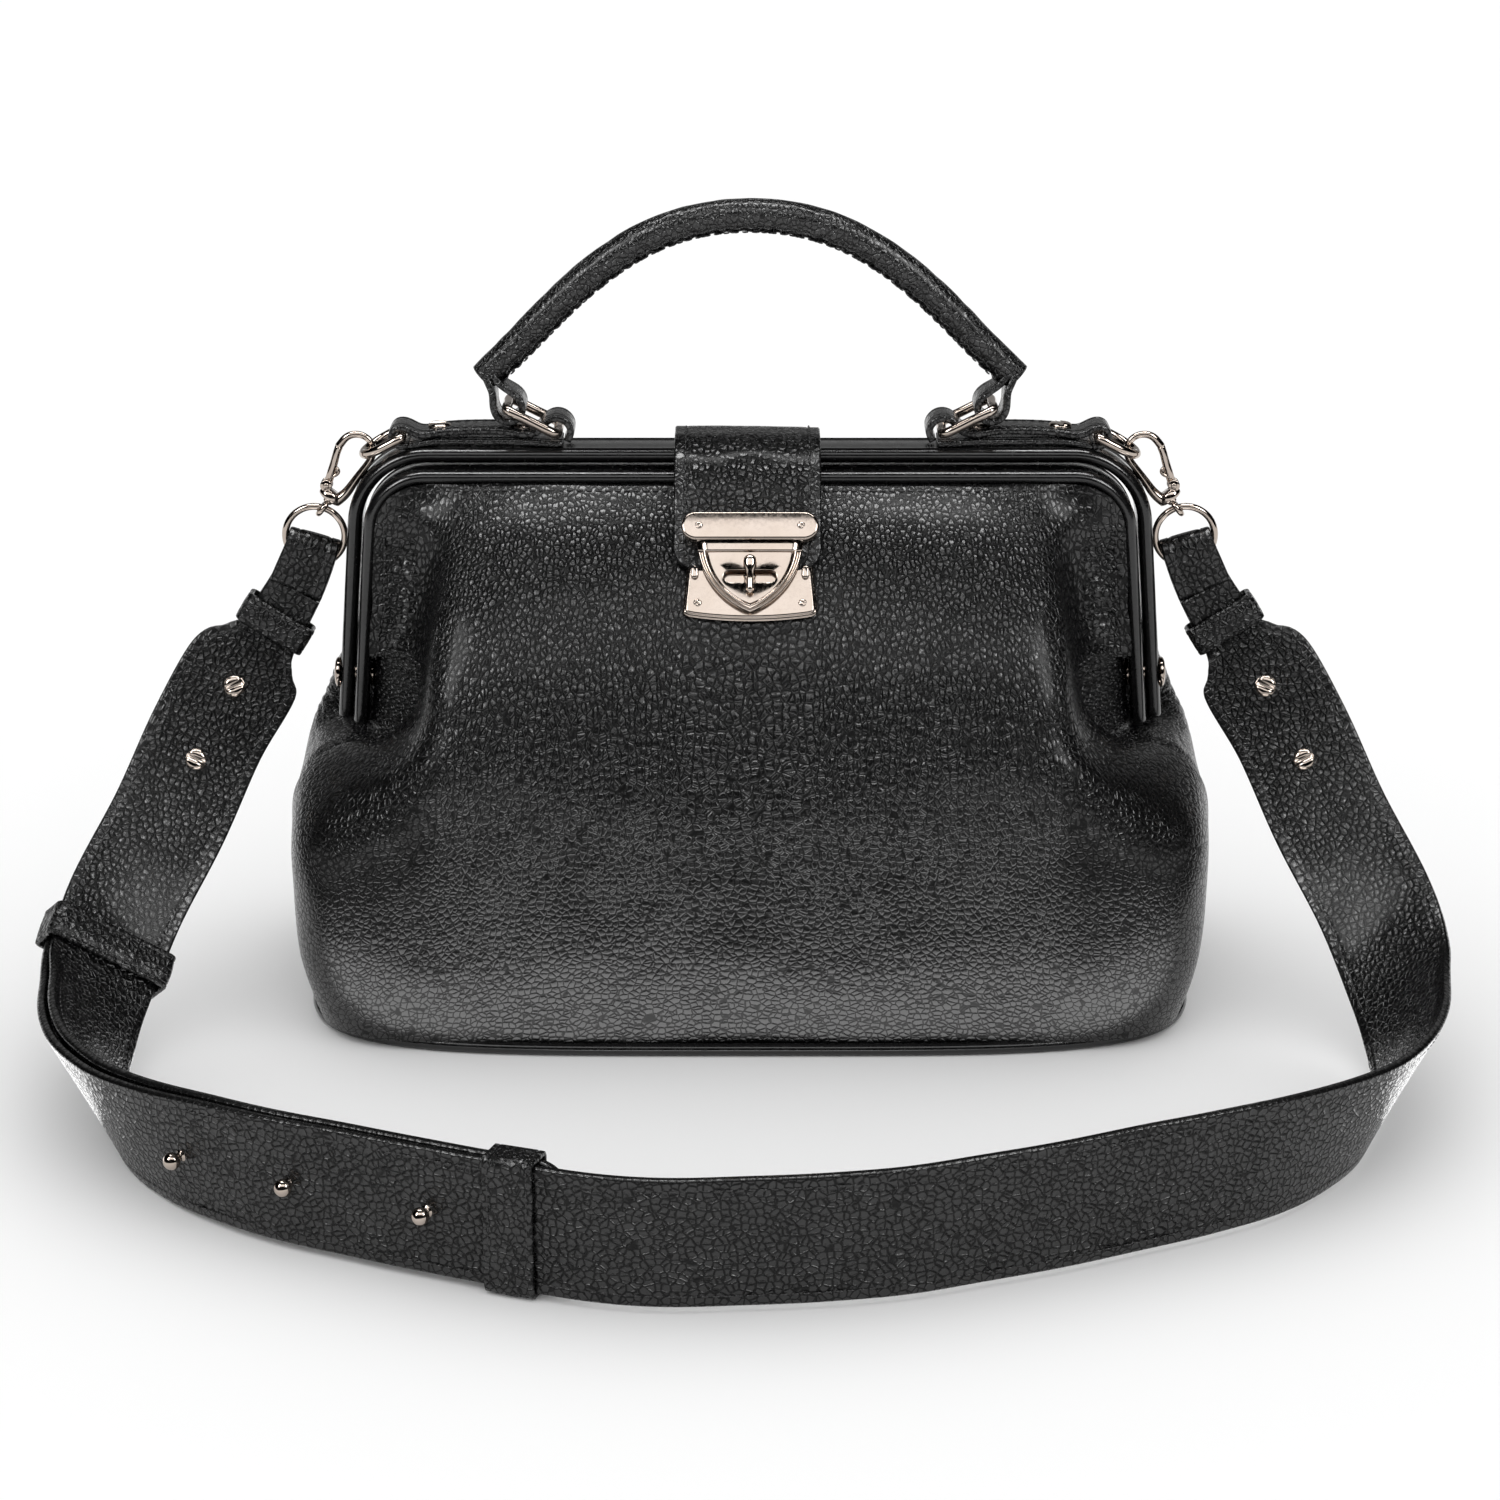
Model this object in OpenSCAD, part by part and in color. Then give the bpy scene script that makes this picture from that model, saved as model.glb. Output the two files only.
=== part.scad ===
// Doctor bag: a leather bag on a hinged double-hoop steel frame, with a turn lock,
// a rolled top handle and a detachable shoulder strap that lies in front of it.
// X runs to the right, Y towards the back, Z up. The origin is under the middle of the base.

/* [Frame hoops] */
// Half the width of the outer hoop over its leather, at the top of its legs
hoop_half = 129.5; // [129:0.1:130.5]
// Outward lean of the hoops' legs, in degrees
splay = 4.4; // [4:0.1:4.8]
// Height of the outer hoop's top face
hoop_top = 182; // [181:0.1:183]
// Thickness of a hoop with its leather
hoop_t = 4.6; // [4.2:0.1:4.8]
// Width of a hoop from front to back
hoop_w = 18.5; // [17:0.5:19]
// Outer corner radius of the outer hoop
hoop_r = 26; // [24:0.5:28]
// Height of the tips of the hoops' legs
hoop_foot = 92; // [91:0.1:94]
// Gap between the nested hoops
hoop_gap = 1; // [0.8:0.1:1.2]
// How far the front hoop stands in front of the back hoop
hoop_step = 7; // [6:0.5:8]
// Thickness of the steel strip inside a hoop
steel_t = 1.6; // [1.2:0.1:2]
// Height of the hinge rivets
hinge_z = 106; // [104:0.5:108]
// Depth of the hinge rivets, front is negative
hinge_y = -3.5; // [-4:0.5:-3]

/* [Leather] */
// Thickness of the body leather
hide_t = 3; // [2.4:0.1:3.2]
// Thickness of one strap, flap or tab
strap_t = 3; // [2.6:0.1:3]
// Height where the front panel starts to move with the frame
fold_z = 62; // [55:1:70]
// Top of the firm end panels
end_z = 85; // [80:1:85]

/* [Lock] */
// Half the width of the hasp's bar
hasp_half = 21.6; // [20:0.1:22]
// Half the length of the hasp's slot
slot_half = 8.2; // [8:0.1:8.6]
// Half the height of the hasp's slot
slot_r = 2; // [1.9:0.1:2.2]
// Radius of the knob's spindle
spindle_r = 1.6; // [1.4:0.05:1.7]

/* [Handle and strap] */
// Radius of the rolled handle
roll_r = 4.6; // [4:0.1:5]
// Full width of the shoulder strap
strap_w = 38; // [34:1:38]
// Width of the strap's folded ends
end_w = 20; // [18:0.5:20]
// Wire radius of the rings
wire_r = 1.5; // [1.3:0.1:1.5]

/* [Hidden] */

$fn = 48;
eps = 0.01;
fit = 0.05;                 // radial clearance of a pin that turns
leather = "#1c1b1c";
edge_leather = "#2b2a2b";
cloth = "#4a3f38";
board = "#8a7a63";
steel = "#9aa0a6";
nickel = "#d8d2c8";

// ---- the hoops -------------------------------------------------------------
inner_inset = hoop_t + hoop_gap;
core_in = (hoop_t - steel_t) / 2;
corner_at = [hoop_half - hoop_r, hoop_top - hoop_r];
screw_x = [74, 99.5];       // tab screws, from the middle

// Half the width at height z of the outer hoop's outline, moved in by inset
function leg_half(inset, z) = corner_at[0] + (hoop_r - inset) / cos(splay)
    + (corner_at[1] - z) * tan(splay);

module arch(inset, foot) {
    r = hoop_r - inset;
    touch = corner_at + r * [cos(splay), sin(splay)];
    polygon([[-leg_half(inset, foot), foot], [leg_half(inset, foot), foot], touch,
             corner_at + [0, r], [-corner_at[0], corner_at[1] + r], [-touch[0], touch[1]]]);
    for (s = [-1, 1]) translate([s * corner_at[0], corner_at[1]]) circle(r = r, $fn = 96);
}

// An upside-down U strip in the XZ plane, w deep about y
module hoop(inset, t, w, y, foot) {
    translate([0, y + w / 2, 0]) rotate([90, 0, 0]) linear_extrude(w)
        difference() {
            arch(inset, foot);
            arch(inset + t, foot - 1);
        }
}

module leg_bores(r) {
    translate([0, hinge_y, hinge_z]) rotate([0, 90, 0]) difference() {
        cylinder(r = r, h = 2 * hoop_half + 20, center = true);
        cylinder(r = r + 1, h = 200, center = true);
    }
}

module tab_bores(r) {
    for (s = [-1, 1], x = screw_x) translate([s * x, 0, hoop_top - 3])
        cylinder(r = r, h = 10);
}

module hoop_cover(inset, y) {
    difference() {
        hoop(inset, hoop_t, hoop_w, y, hoop_foot);
        hoop(inset + core_in - fit, steel_t + 2 * fit, hoop_w - 3, y, hoop_foot + 1.5);
        leg_bores(2 + fit);
    }
}

module hoop_core(inset, y) {
    difference() {
        hoop(inset + core_in, steel_t, hoop_w - 3.2, y, hoop_foot + 1.6);
        leg_bores(2 + fit);
    }
}

module back_hoop_cover() {
    color(edge_leather) difference() {
        hoop_cover(0, 0);
        tab_bores(1.3);
    }
}

module back_hoop_core() {
    color(steel) difference() {
        hoop_core(0, 0);
        tab_bores(1.3);
    }
}

module front_hoop_cover() {
    color(edge_leather) hoop_cover(inner_inset, -hoop_step);
}

module front_hoop_core() {
    color(steel) hoop_core(inner_inset, -hoop_step);
}

// A domed rivet through both legs, its axis along X. The heads stand clear of the lean of
// the legs
module hinge_rivet(side) {
    lean = 0.4;
    inside = leg_half(inner_inset + hoop_t, hinge_z) - lean - 1.2;
    outside = leg_half(0, hinge_z) + lean;
    color(nickel) translate([side * inside, hinge_y, hinge_z]) rotate([0, side * 90, 0]) {
        cylinder(r = 2, h = outside - inside + 0.5);
        cylinder(r = 4.5, h = 1.2);
        translate([0, 0, outside - inside]) intersection() {
            cylinder(r = 5, h = 1.8);
            translate([0, 0, -6.2]) sphere(r = 8);
        }
    }
}
module hinge_rivet_l() { hinge_rivet(-1); }
module hinge_rivet_r() { hinge_rivet(1); }

module hinge_washers() {
    color(nickel) for (s = [-1, 1])
        translate([s * leg_half(hoop_t + hoop_gap / 2, hinge_z), hinge_y, hinge_z])
            rotate([0, 90, 0]) difference() {
                cylinder(r = 3.8, h = 0.4, center = true);
                cylinder(r = 2 + fit, h = 3, center = true);
            }
}

// ---- the leather body ------------------------------------------------------
// Half width, depth in front, depth behind and squareness of the body at each height
half_table = [[0, 142.6], [20, 145.8], [45, 148.2], [68, 148.6], [78, 144.5], [85, 137.5],
              [89, 127], [91.5, 118.6], [158, 116.8], [163, 115], [167, 111.5], [171.3, 102.5],
              [178, 99]];
front_table = [[0, 73.5], [40, 75], [80, 72], [120, 60], [138, 48], [163, 30], [171.4, 16]];
back_table = [[0, 73.5], [40, 75], [80, 72], [120, 59], [138, 46], [152, 34], [163, 21.5],
              [171, 13], [177.2, 9]];
power_table = [[0, 4.2], [60, 4], [92, 3.2], [120, 3], [150, 4], [163, 6], [178, 8]];

function signed_power(c, e) = sign(c) * pow(abs(c), e);

function skin(z, phi, inset) =
    let (a = lookup(z, half_table) - inset,
         b = lookup(z, phi > 180 ? front_table : back_table) - inset,
         e = 2 / lookup(z, power_table))
    [a * signed_power(cos(phi), e), b * signed_power(sin(phi), e), z];

function steps(from, to, n) = [for (i = [0:n]) from + (to - from) * i / n];

// A curved sheet of the body's skin over the given heights and angles
module sheet(zs, phis, inset, t) {
    n = len(zs);
    m = len(phis);
    pts = concat([for (z = zs, p = phis) skin(z, p, inset)],
                 [for (z = zs, p = phis) skin(z, p, inset + t)]);
    function o(i, j) = i * m + j;
    function q(i, j) = n * m + i * m + j;
    quads = concat(
        [for (i = [0:n - 2], j = [0:m - 2]) [o(i, j), o(i + 1, j), o(i + 1, j + 1), o(i, j + 1)]],
        [for (i = [0:n - 2], j = [0:m - 2]) [q(i, j), q(i, j + 1), q(i + 1, j + 1), q(i + 1, j)]],
        [for (j = [0:m - 2]) [o(0, j), o(0, j + 1), q(0, j + 1), q(0, j)]],
        [for (j = [0:m - 2]) [o(n - 1, j + 1), o(n - 1, j), q(n - 1, j), q(n - 1, j + 1)]],
        [for (i = [0:n - 2]) [o(i + 1, 0), o(i, 0), q(i, 0), q(i + 1, 0)]],
        [for (i = [0:n - 2]) [o(i, m - 1), o(i + 1, m - 1), q(i + 1, m - 1), q(i, m - 1)]]);
    polyhedron(pts, [for (f = quads) each [[f[0], f[1], f[2]], [f[0], f[2], f[3]]]], 4);
}

corner = 12;                // angle at which the end panels meet the front and back
sew = 0.3;                  // angle left open at a seam
low_z = [4, 20, 45, fold_z];
high_z = [fold_z + 0.3, 78, end_z, 89, 91.5, 106, 120, 138, 150, 163, 167, 171.3];
back_z = [4, 20, 45, 68, 78, 85, 89, 91.5, 106, 120, 138, 152, 163, 171, 177];
end_levels = [4, 20, 45, 68, 78, end_z];
gusset_z = [end_z + 0.3, 89, 91.5, 106, 120, 138, 150, 163];
front_arc = steps(180 + corner + sew, 360 - corner - sew, 20);
back_arc = steps(corner + sew, 180 - corner - sew, 20);
end_arc = steps(-corner, corner, 6);

module front_panel_lower() { color(leather) sheet(low_z, front_arc, 0, hide_t); }
module front_panel_upper() { color(leather) sheet(high_z, front_arc, 0, hide_t); }
module back_panel() { color(leather) sheet(back_z, back_arc, 0, hide_t); }

module end_sheet(zs, mid, t) {
    color(leather) sheet(zs, [for (a = end_arc) mid == 0 ? wrap(a) : mid + a], 0, t);
}
function wrap(a) = a < 0 ? 360 + a : a;

module end_panel_l() { end_sheet(end_levels, 180, hide_t); }
module end_panel_r() { end_sheet(end_levels, 0, hide_t); }
module gusset_l() { end_sheet(gusset_z, 180, 1.6); }
module gusset_r() { end_sheet(gusset_z, 0, 1.6); }

module lining() {
    wall = [7, 20, 45, 60];
    color(cloth) {
        sheet(wall, concat([182, 187], front_arc, [353, 358]), hide_t + 0.5, 0.8);
        sheet(wall, concat([2, 7], back_arc, [173, 178]), hide_t + 0.5, 0.8);
        translate([0, 0, 6.1]) linear_extrude(0.8) outline(136, 67);
    }
}

// ---- the base --------------------------------------------------------------
function edge_of(a, b, phi) =
    [a * signed_power(cos(phi), 2 / 4.2), b * signed_power(sin(phi), 2 / 4.2)];

module outline(a, b) { polygon([for (p = [0:5:355]) edge_of(a, b, p)]); }

module base_panel() { color(leather) linear_extrude(3) outline(139.4, 70.4); }

module base_board() { color(board) translate([0, 0, 3.1]) linear_extrude(2.8) outline(137, 68); }

// Closed ring of tube along the base's edge
module base_piping() {
    sides = 8;
    n = 72;
    r = 1.85;
    function at(i) = edge_of(141.6, 72.6, i * 360 / n);
    function out(i) = let (d = at(i + 1) - at(i - 1)) [d[1], -d[0]] / norm(d);
    pts = [for (i = [0:n - 1], k = [0:sides - 1])
        let (c = at(i), u = out(i), w = r * cos(k * 360 / sides))
        [c[0] + u[0] * w, c[1] + u[1] * w, 1.9 + r * sin(k * 360 / sides)]];
    function v(i, k) = (i % n) * sides + k % sides;
    color(edge_leather) polyhedron(pts, [for (i = [0:n - 1], k = [0:sides - 1])
        each [[v(i, k), v(i, k + 1), v(i + 1, k + 1)],
              [v(i, k), v(i + 1, k + 1), v(i + 1, k)]]], 4);
}

// ---- the flap --------------------------------------------------------------
flap_half = 22.3;
hinge_flap = [9.8, 184];    // depth and height of the flap's bend over the back hoop

module slab(points, half) {
    rotate([90, 0, 90]) translate([0, 0, -half]) linear_extrude(2 * half) polygon(points);
}

module flap() {
    color(leather) slab([[8.5, 182.4], [-9.3, 182.4], [-16.6, 179.4], [-22, 173.6],
        [-28.9, 165.4], [-36.8, 154.3], [-39, 155.9], [-31.2, 167.2], [-24.3, 175.8],
        [-18.2, 182], [-9.8, 185.4], [8.5, 185.4]], flap_half);
}

module flap_tail() {
    color(leather) slab([[9.7, 182.3], [9.7, 178.3], [15, 172.2], [23.5, 164.4], [30.6, 156],
        [32.9, 158], [25.6, 166.6], [17.3, 174.2], [12.6, 179.8], [12.6, 182.3]], flap_half);
}

// ---- the turn lock ---------------------------------------------------------
lock_tilt = atan(18 / 25);  // the front's slope where the lock sits
lock_at = [0, -39, 150.5];

// Local X across, local Y up the front, local Z out of it
module at_lock() { translate(lock_at) rotate([90 - lock_tilt, 0, 0]) children(); }

module pill(half, r, h) {
    translate([-(half - r), -r, 0]) cube([2 * (half - r), 2 * r, h]);
    for (s = [-1, 1]) translate([s * (half - r), 0, 0]) cylinder(r = r, h = h);
}

shield_top = 3.9;
module shield(grow) {
    intersection() {
        translate([9.5, 8.9]) circle(r = 26 + grow, $fn = 128);
        translate([-9.5, 8.9]) circle(r = 26 + grow, $fn = 128);
        translate([-20, -20]) square([40, 20 + shield_top]);
    }
}

bar_y = 12.5;
bar_r = 4.7;
hasp_screw_x = 16;
slot_y = -3.8;

module hasp() {
    color(nickel) at_lock() difference() {
        union() {
            translate([0, bar_y, 3.6]) pill(hasp_half, bar_r, 3.4);
            translate([0, 0, 3.5]) linear_extrude(1.5) shield(0);
            translate([0, 0, 5]) linear_extrude(0.7) difference() {
                shield(0);
                shield(-1.5);
            }
            translate([-15.5, shield_top - eps, 3.5]) cube([31, bar_y - shield_top, 2.2]);
        }
        translate([0, slot_y, 3]) pill(slot_half, slot_r, 4);
        for (s = [-1, 1]) translate([s * hasp_screw_x, bar_y, 3]) cylinder(r = 1.4, h = 6);
    }
}

module slotted_head(r, h) {
    difference() {
        cylinder(r = r, h = h);
        translate([-r, -0.25, h - 0.4]) cube([2 * r, 0.5, 1]);
    }
}

module hasp_screws() {
    color(nickel) at_lock() for (s = [-1, 1])
        translate([s * hasp_screw_x, bar_y, 3.6]) rotate([0, 0, s * 35]) slotted_head(1.38, 3.5);
}

lock_screw = [16.4, -11.6];

module lock_plate() {
    color(nickel) at_lock() difference() {
        translate([0, 0, 0.3]) linear_extrude(1.8) offset(r = 2.6, $fn = 24) offset(delta = -2.6)
            intersection() {
                polygon([[-19.4, 3.8], [19.4, 3.8], [21.6, -18], [-21.6, -18]]);
                translate([0, 110]) circle(r = 127.2, $fn = 360);
            }
        translate([0, slot_y, 0]) cylinder(r = spindle_r + fit, h = 4);
        for (s = [-1, 1]) translate([s * lock_screw[0], lock_screw[1], 0])
            cylinder(r = 1.4, h = 4);
    }
}

module lock_screws() {
    color(nickel) at_lock() for (s = [-1, 1])
        translate([s * lock_screw[0], lock_screw[1], 0.4]) rotate([0, 0, s * 50])
            slotted_head(1.38, 1.9);
}

module lock_backing() {
    color(steel) at_lock() translate([-18, -14, -4.4]) cube([36, 16, 1.2]);
}

// The wing stands upright across the hasp's slot when the bag is locked
module turn_knob() {
    color(nickel) at_lock() translate([0, slot_y, 0]) {
        translate([0, 0, 0.5]) cylinder(r = spindle_r, h = 6.6);
        translate([0, 0, 6.4]) {
            hull() {
                translate([0, 4.7, 0]) cylinder(r = 1.75, h = 2.6, $fn = 32);
                cylinder(r = 1.1, h = 2.6, $fn = 32);
            }
            hull() {
                translate([0, -5.6, 0]) cylinder(r = 1.3, h = 2.6, $fn = 32);
                cylinder(r = 1.1, h = 2.6, $fn = 32);
            }
        }
    }
}

// ---- the top tabs and their rings ------------------------------------------
tab_half = 6.5;             // half the tab's width, front to back
tab_z = hoop_top + 0.2;
ring_low = [61.5, 186.7];   // bar in the tab's inner loop
ring_high = [77.5, 194.8];  // bar in the handle's loop
dring_at = [111.5, 185.5];  // bar in the tab's outer loop
dring_tilt = 28;
dring_leg = 5.9;
dring_r = 8.5;

module disc_xz(at, r, half) {
    translate([at[0], half, at[1]]) rotate([90, 0, 0]) cylinder(r = r, h = 2 * half);
}

module tab(side) {
    color(leather) scale_x(side) difference() {
        union() {
            translate([ring_low[0], -tab_half, tab_z]) cube([dring_at[0] - ring_low[0],
                2 * tab_half, strap_t]);
            disc_xz(ring_low, 4.4, tab_half);
            disc_xz(dring_at, 3.2, tab_half);
        }
        disc_xz(ring_low, wire_r + 0.35, tab_half + 1);
        disc_xz(dring_at, wire_r + 0.1, tab_half + 1);
        for (x = screw_x) translate([x, 0, tab_z - 1]) cylinder(r = 1.3, h = 6);
    }
}
module scale_x(side) {
    if (side < 0) mirror([1, 0, 0]) children();
    else children();
}
module tab_l() { tab(-1); }
module tab_r() { tab(1); }

module tab_screws(side) {
    color(nickel) scale_x(side) for (x = screw_x) translate([x, 0, hoop_top - 2.4]) {
        cylinder(r = 1.28, h = 5.8);
        translate([0, 0, 5.65]) slotted_head(3.6, 1);
    }
}
module tab_screws_l() { tab_screws(-1); }
module tab_screws_r() { tab_screws(1); }

// A straight round bar with flat ends
module bar(a, b, r) {
    d = b - a;
    translate(a) rotate([0, acos(d[2] / norm(d)), atan2(d[1], d[0])])
        cylinder(r = r, h = norm(d));
}

// A straight wire with ball ends between two points
module wire(a, b, r) {
    translate(a) sphere(r = r);
    translate(b) sphere(r = r);
    bar(a, b, r);
}

ring_half = 8.5;
module handle_ring(side) {
    low = [ring_low[0], 0, ring_low[1]];
    high = [ring_high[0], 0, ring_high[1]];
    y = [0, ring_half, 0];
    color(nickel) scale_x(side) union() {
        wire(low - y, low + y, wire_r);
        wire(high - y, high + y, wire_r);
        wire(low - y, high - y, wire_r);
        wire(low + y, high + y, wire_r);
    }
}
module handle_ring_l() { handle_ring(-1); }
module handle_ring_r() { handle_ring(1); }

module strap_dring(side) {
    color(nickel) scale_x(side) translate([dring_at[0], 0, dring_at[1]])
        rotate([0, dring_tilt, 0]) union() {
            wire([0, -dring_r, 0], [0, dring_r, 0], wire_r);
            for (s = [-1, 1]) wire([0, s * dring_r, 0], [dring_leg, s * dring_r, 0], wire_r);
            translate([dring_leg, 0, 0]) rotate([0, 0, -90])
                rotate_extrude(angle = 180) translate([dring_r, 0]) circle(r = wire_r);
        }
}
module strap_dring_l() { strap_dring(-1); }
module strap_dring_r() { strap_dring(1); }

// ---- the handle ------------------------------------------------------------
// Right half of the handle's centre line, from its middle to its end
handle_half = [[0, 256], [14, 254.8], [29, 250.4], [46, 240.6], [62, 226.8], [75, 213.6],
               [84.5, 204.6]];
function mirrored(p) = [for (i = [len(p) - 1:-1:1]) [-p[i][0], p[i][1]]];

// A smooth curve through the points, n steps between each two
function blend4(a, b, c, d, t) = 0.5 * ((2 * b) + (c - a) * t
    + (2 * a - 5 * b + 4 * c - d) * t * t + (3 * b - a - 3 * c + d) * t * t * t);
function smooth(p, n) = let (last = len(p) - 1) concat(
    [for (i = [0:last - 1], k = [0:n - 1])
        blend4(p[max(i - 1, 0)], p[i], p[i + 1], p[min(i + 2, last)], k / n)], [p[last]]);

handle_path = smooth(concat(mirrored(handle_half), handle_half), 3);

module tube_xz(path, r, sides) {
    n = len(path);
    function along(i) = let (d = path[min(i + 1, n - 1)] - path[max(i - 1, 0)]) d / norm(d);
    pts = [for (i = [0:n - 1], k = [0:sides - 1])
        let (t = along(i), c = r * cos(k * 360 / sides), s = r * sin(k * 360 / sides))
        [path[i][0] - t[1] * c, s, path[i][1] + t[0] * c]];
    function v(i, k) = i * sides + k % sides;
    polyhedron(pts, concat(
        [for (i = [0:n - 2], k = [0:sides - 1])
            each [[v(i, k), v(i, k + 1), v(i + 1, k + 1)],
                  [v(i, k), v(i + 1, k + 1), v(i + 1, k)]]],
        [[for (k = [sides - 1:-1:0]) v(0, k)]], [[for (k = [0:sides - 1]) v(n - 1, k)]]), 4);
}

module handle_roll() {
    color(leather) difference() {
        tube_xz(handle_path, roll_r, 16);
        tube_xz(longer(handle_path), 2.6, 10);
    }
}
function longer(p) = let (e = len(p) - 1) concat([p[0] + (p[0] - p[1]) * 0.3], p,
    [p[e] + (p[e] - p[e - 1]) * 0.3]);

module handle_core() { color(board) tube_xz(handle_path, 2.5, 10); }

// The strip that comes out of the roll and goes round the ring's upper bar
module handle_loop(side) {
    neck = [84.3, 203.6];
    color(edge_leather) scale_x(side) difference() {
        union() {
            disc_xz(ring_high, 4.6, tab_half);
            translate([ring_high[0], 0, ring_high[1]])
                rotate([0, atan2(neck[0] - ring_high[0], neck[1] - ring_high[1]), 0])
                    translate([-2, -tab_half, 2.6]) cube([4, 2 * tab_half, 4.8]);
        }
        disc_xz(ring_high, wire_r + 0.4, tab_half + 1);
    }
}
module handle_loop_l() { handle_loop(-1); }
module handle_loop_r() { handle_loop(1); }

// ---- the snap hooks --------------------------------------------------------
hook_tilt = 38;
hook_r = 5.4;
hook_arc = [-2.6, 21.9];    // centre of the hook's arc
bar_in_hook = [-0.4, 22.9]; // where the D-ring's bar lies in the hook
dring_bar = [dring_at[0] + (dring_leg + dring_r) * cos(dring_tilt),
             dring_at[1] - (dring_leg + dring_r) * sin(dring_tilt)];
hook_at = [
    dring_bar[0] - (-bar_in_hook[0] * cos(hook_tilt) - bar_in_hook[1] * sin(hook_tilt)),
    dring_bar[1] - (-bar_in_hook[0] * sin(hook_tilt) + bar_in_hook[1] * cos(hook_tilt))];
gate_at = [-3.6, 7.2];

// Local X towards the bag, local Y up the hook, in the XZ plane
module at_hook(side) {
    scale_x(side) translate([hook_at[0], 0, hook_at[1]]) rotate([90, 0, 0])
        rotate([0, 0, hook_tilt]) mirror([1, 0, 0]) children();
}

module hook(side) {
    lug = [gate_at[0], gate_at[1], 0];
    arm = hook_arc[0] + hook_r;
    nose = hook_arc[0] - hook_r;
    color(nickel) at_hook(side) difference() {
        union() {
            translate([0, 3.5, 0]) rotate([-90, 0, 0]) cylinder(r = 4.1, h = 2.8);
            bar([arm - 0.05, 4.6, 0], [arm - 0.15, hook_arc[1] + 0.5, 0], 1);
            translate([hook_arc[0], hook_arc[1], 0]) rotate_extrude(angle = 180)
                translate([hook_r, 0]) circle(r = 1.15);
            bar([nose, hook_arc[1] + 0.5, 0], [nose, hook_arc[1] - 1.9, 0], 1.2);
            translate(lug) cylinder(r = 1.9, h = 4.4, center = true);
        }
        translate([0, 3, 0]) rotate([-90, 0, 0]) cylinder(r = 0.9 + fit, h = 4);
        translate(lug) cylinder(r = 0.6, h = 6, center = true);
        translate(lug + [-2.4, -1.7, -1]) cube([4.8, 6, 2]);
    }
}
module hook_l() { hook(-1); }
module hook_r_node() { hook(1); }

module hook_gate(side) {
    tip = [-7.55, 18.4, 0];
    color(nickel) at_hook(side) difference() {
        union() {
            translate([gate_at[0], gate_at[1], 0]) {
                cylinder(r = 1.5, h = 1.7, center = true);
                rotate([0, 0, 19]) translate([-0.8, 0, -0.85]) cube([1.6, 3.6, 1.7]);
            }
            bar([-4.5, 9.6, 0], tip, 1.1);
            translate(tip) sphere(r = 1.3);
        }
        translate([gate_at[0], gate_at[1], 0]) cylinder(r = 0.6, h = 6, center = true);
    }
}
module hook_gate_l() { hook_gate(-1); }
module hook_gate_r() { hook_gate(1); }

module gate_pin(side) {
    color(steel) at_hook(side) translate([gate_at[0], gate_at[1], 0])
        cylinder(r = 0.55, h = 4.4, center = true);
}
module gate_pin_l() { gate_pin(-1); }
module gate_pin_r() { gate_pin(1); }

// An eye on a headed stem that turns in the hook's collar
module swivel(side) {
    color(nickel) at_hook(side) {
        rotate([0, 90, 0]) rotate_extrude() translate([2.4, 0]) circle(r = 0.9);
        translate([0, 2.4, 0]) rotate([-90, 0, 0]) cylinder(r = 0.9, h = 4.9);
        translate([0, 6.5, 0]) rotate([-90, 0, 0]) cylinder(r = 1.5, h = 0.8);
    }
}
module swivel_l() { swivel(-1); }
module swivel_r() { swivel(1); }

// ---- the shoulder strap ----------------------------------------------------
link_r = 9.6;
link_at = [hook_at[0] + 2.85, hook_at[1] - 9.2];

module strap_ring(side) {
    color(nickel) scale_x(side) translate([link_at[0], 0, link_at[1]]) rotate([90, 0, 0])
        rotate_extrude($fn = 72) translate([link_r, 0]) circle(r = 1.1);
}
module strap_ring_l() { strap_ring(-1); }
module strap_ring_r() { strap_ring(1); }

// Left half of the strap's route, from its folded end to the middle of the front: the strip's
// middle, the direction across it from its lower to its upper edge, and its width
side_route = [
    [-147.5, -3.1, 134, -0.95, 0, 0.3, 18],
    [-156.3, -4, 119.7, -0.93, 0, 0.36, end_w],
    [-160, -5.8, 114.8, -0.91, 0, 0.41, 0.7 * strap_w],
    [-164.4, -8.5, 108.6, -0.88, 0, 0.48, strap_w],
    [-175.9, -18, 89.7, -0.87, 0, 0.49, strap_w],
    [-187.1, -34, 66.1, -0.87, 0, 0.49, strap_w],
    [-199.1, -55, 45.1, -0.84, -0.05, 0.54, strap_w],
    [-204.5, -74, 30, -0.72, -0.12, 0.68, strap_w],
    [-205, -92, 23, -0.6, -0.2, 0.78, strap_w],
    [-202, -118, 20, -0.5, -0.2, 0.84, strap_w],
    [-193, -146, 19.3, -0.4, -0.15, 0.9, strap_w],
    [-177, -173, 19.8, -0.26, -0.12, 0.96, strap_w]];
front_route = [
    [-150, -197, 20.8, -0.08, -0.05, 1, strap_w],
    [-115, -215.5, 20.8, 0, 0, 1, strap_w],
    [-75, -233.5, 20.8, 0, 0, 1, strap_w],
    [-35, -247, 20.8, 0, 0, 1, strap_w],
    [0, -251.5, 20.8, 0, 0, 1, strap_w]];
layer = strap_t + 1.0;      // step between two strap layers
fold_mid = [-141.85, 0, 147.45];
fold_r = 3.1;

function other_side(p) = [-p[0], p[1], p[2], -p[3], p[4], p[5], p[6]];
function reversed(p) = [for (i = [len(p) - 1:-1:0]) p[i]];
function shifted(p, s) = [for (q = p) concat(q, [s])];

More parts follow.
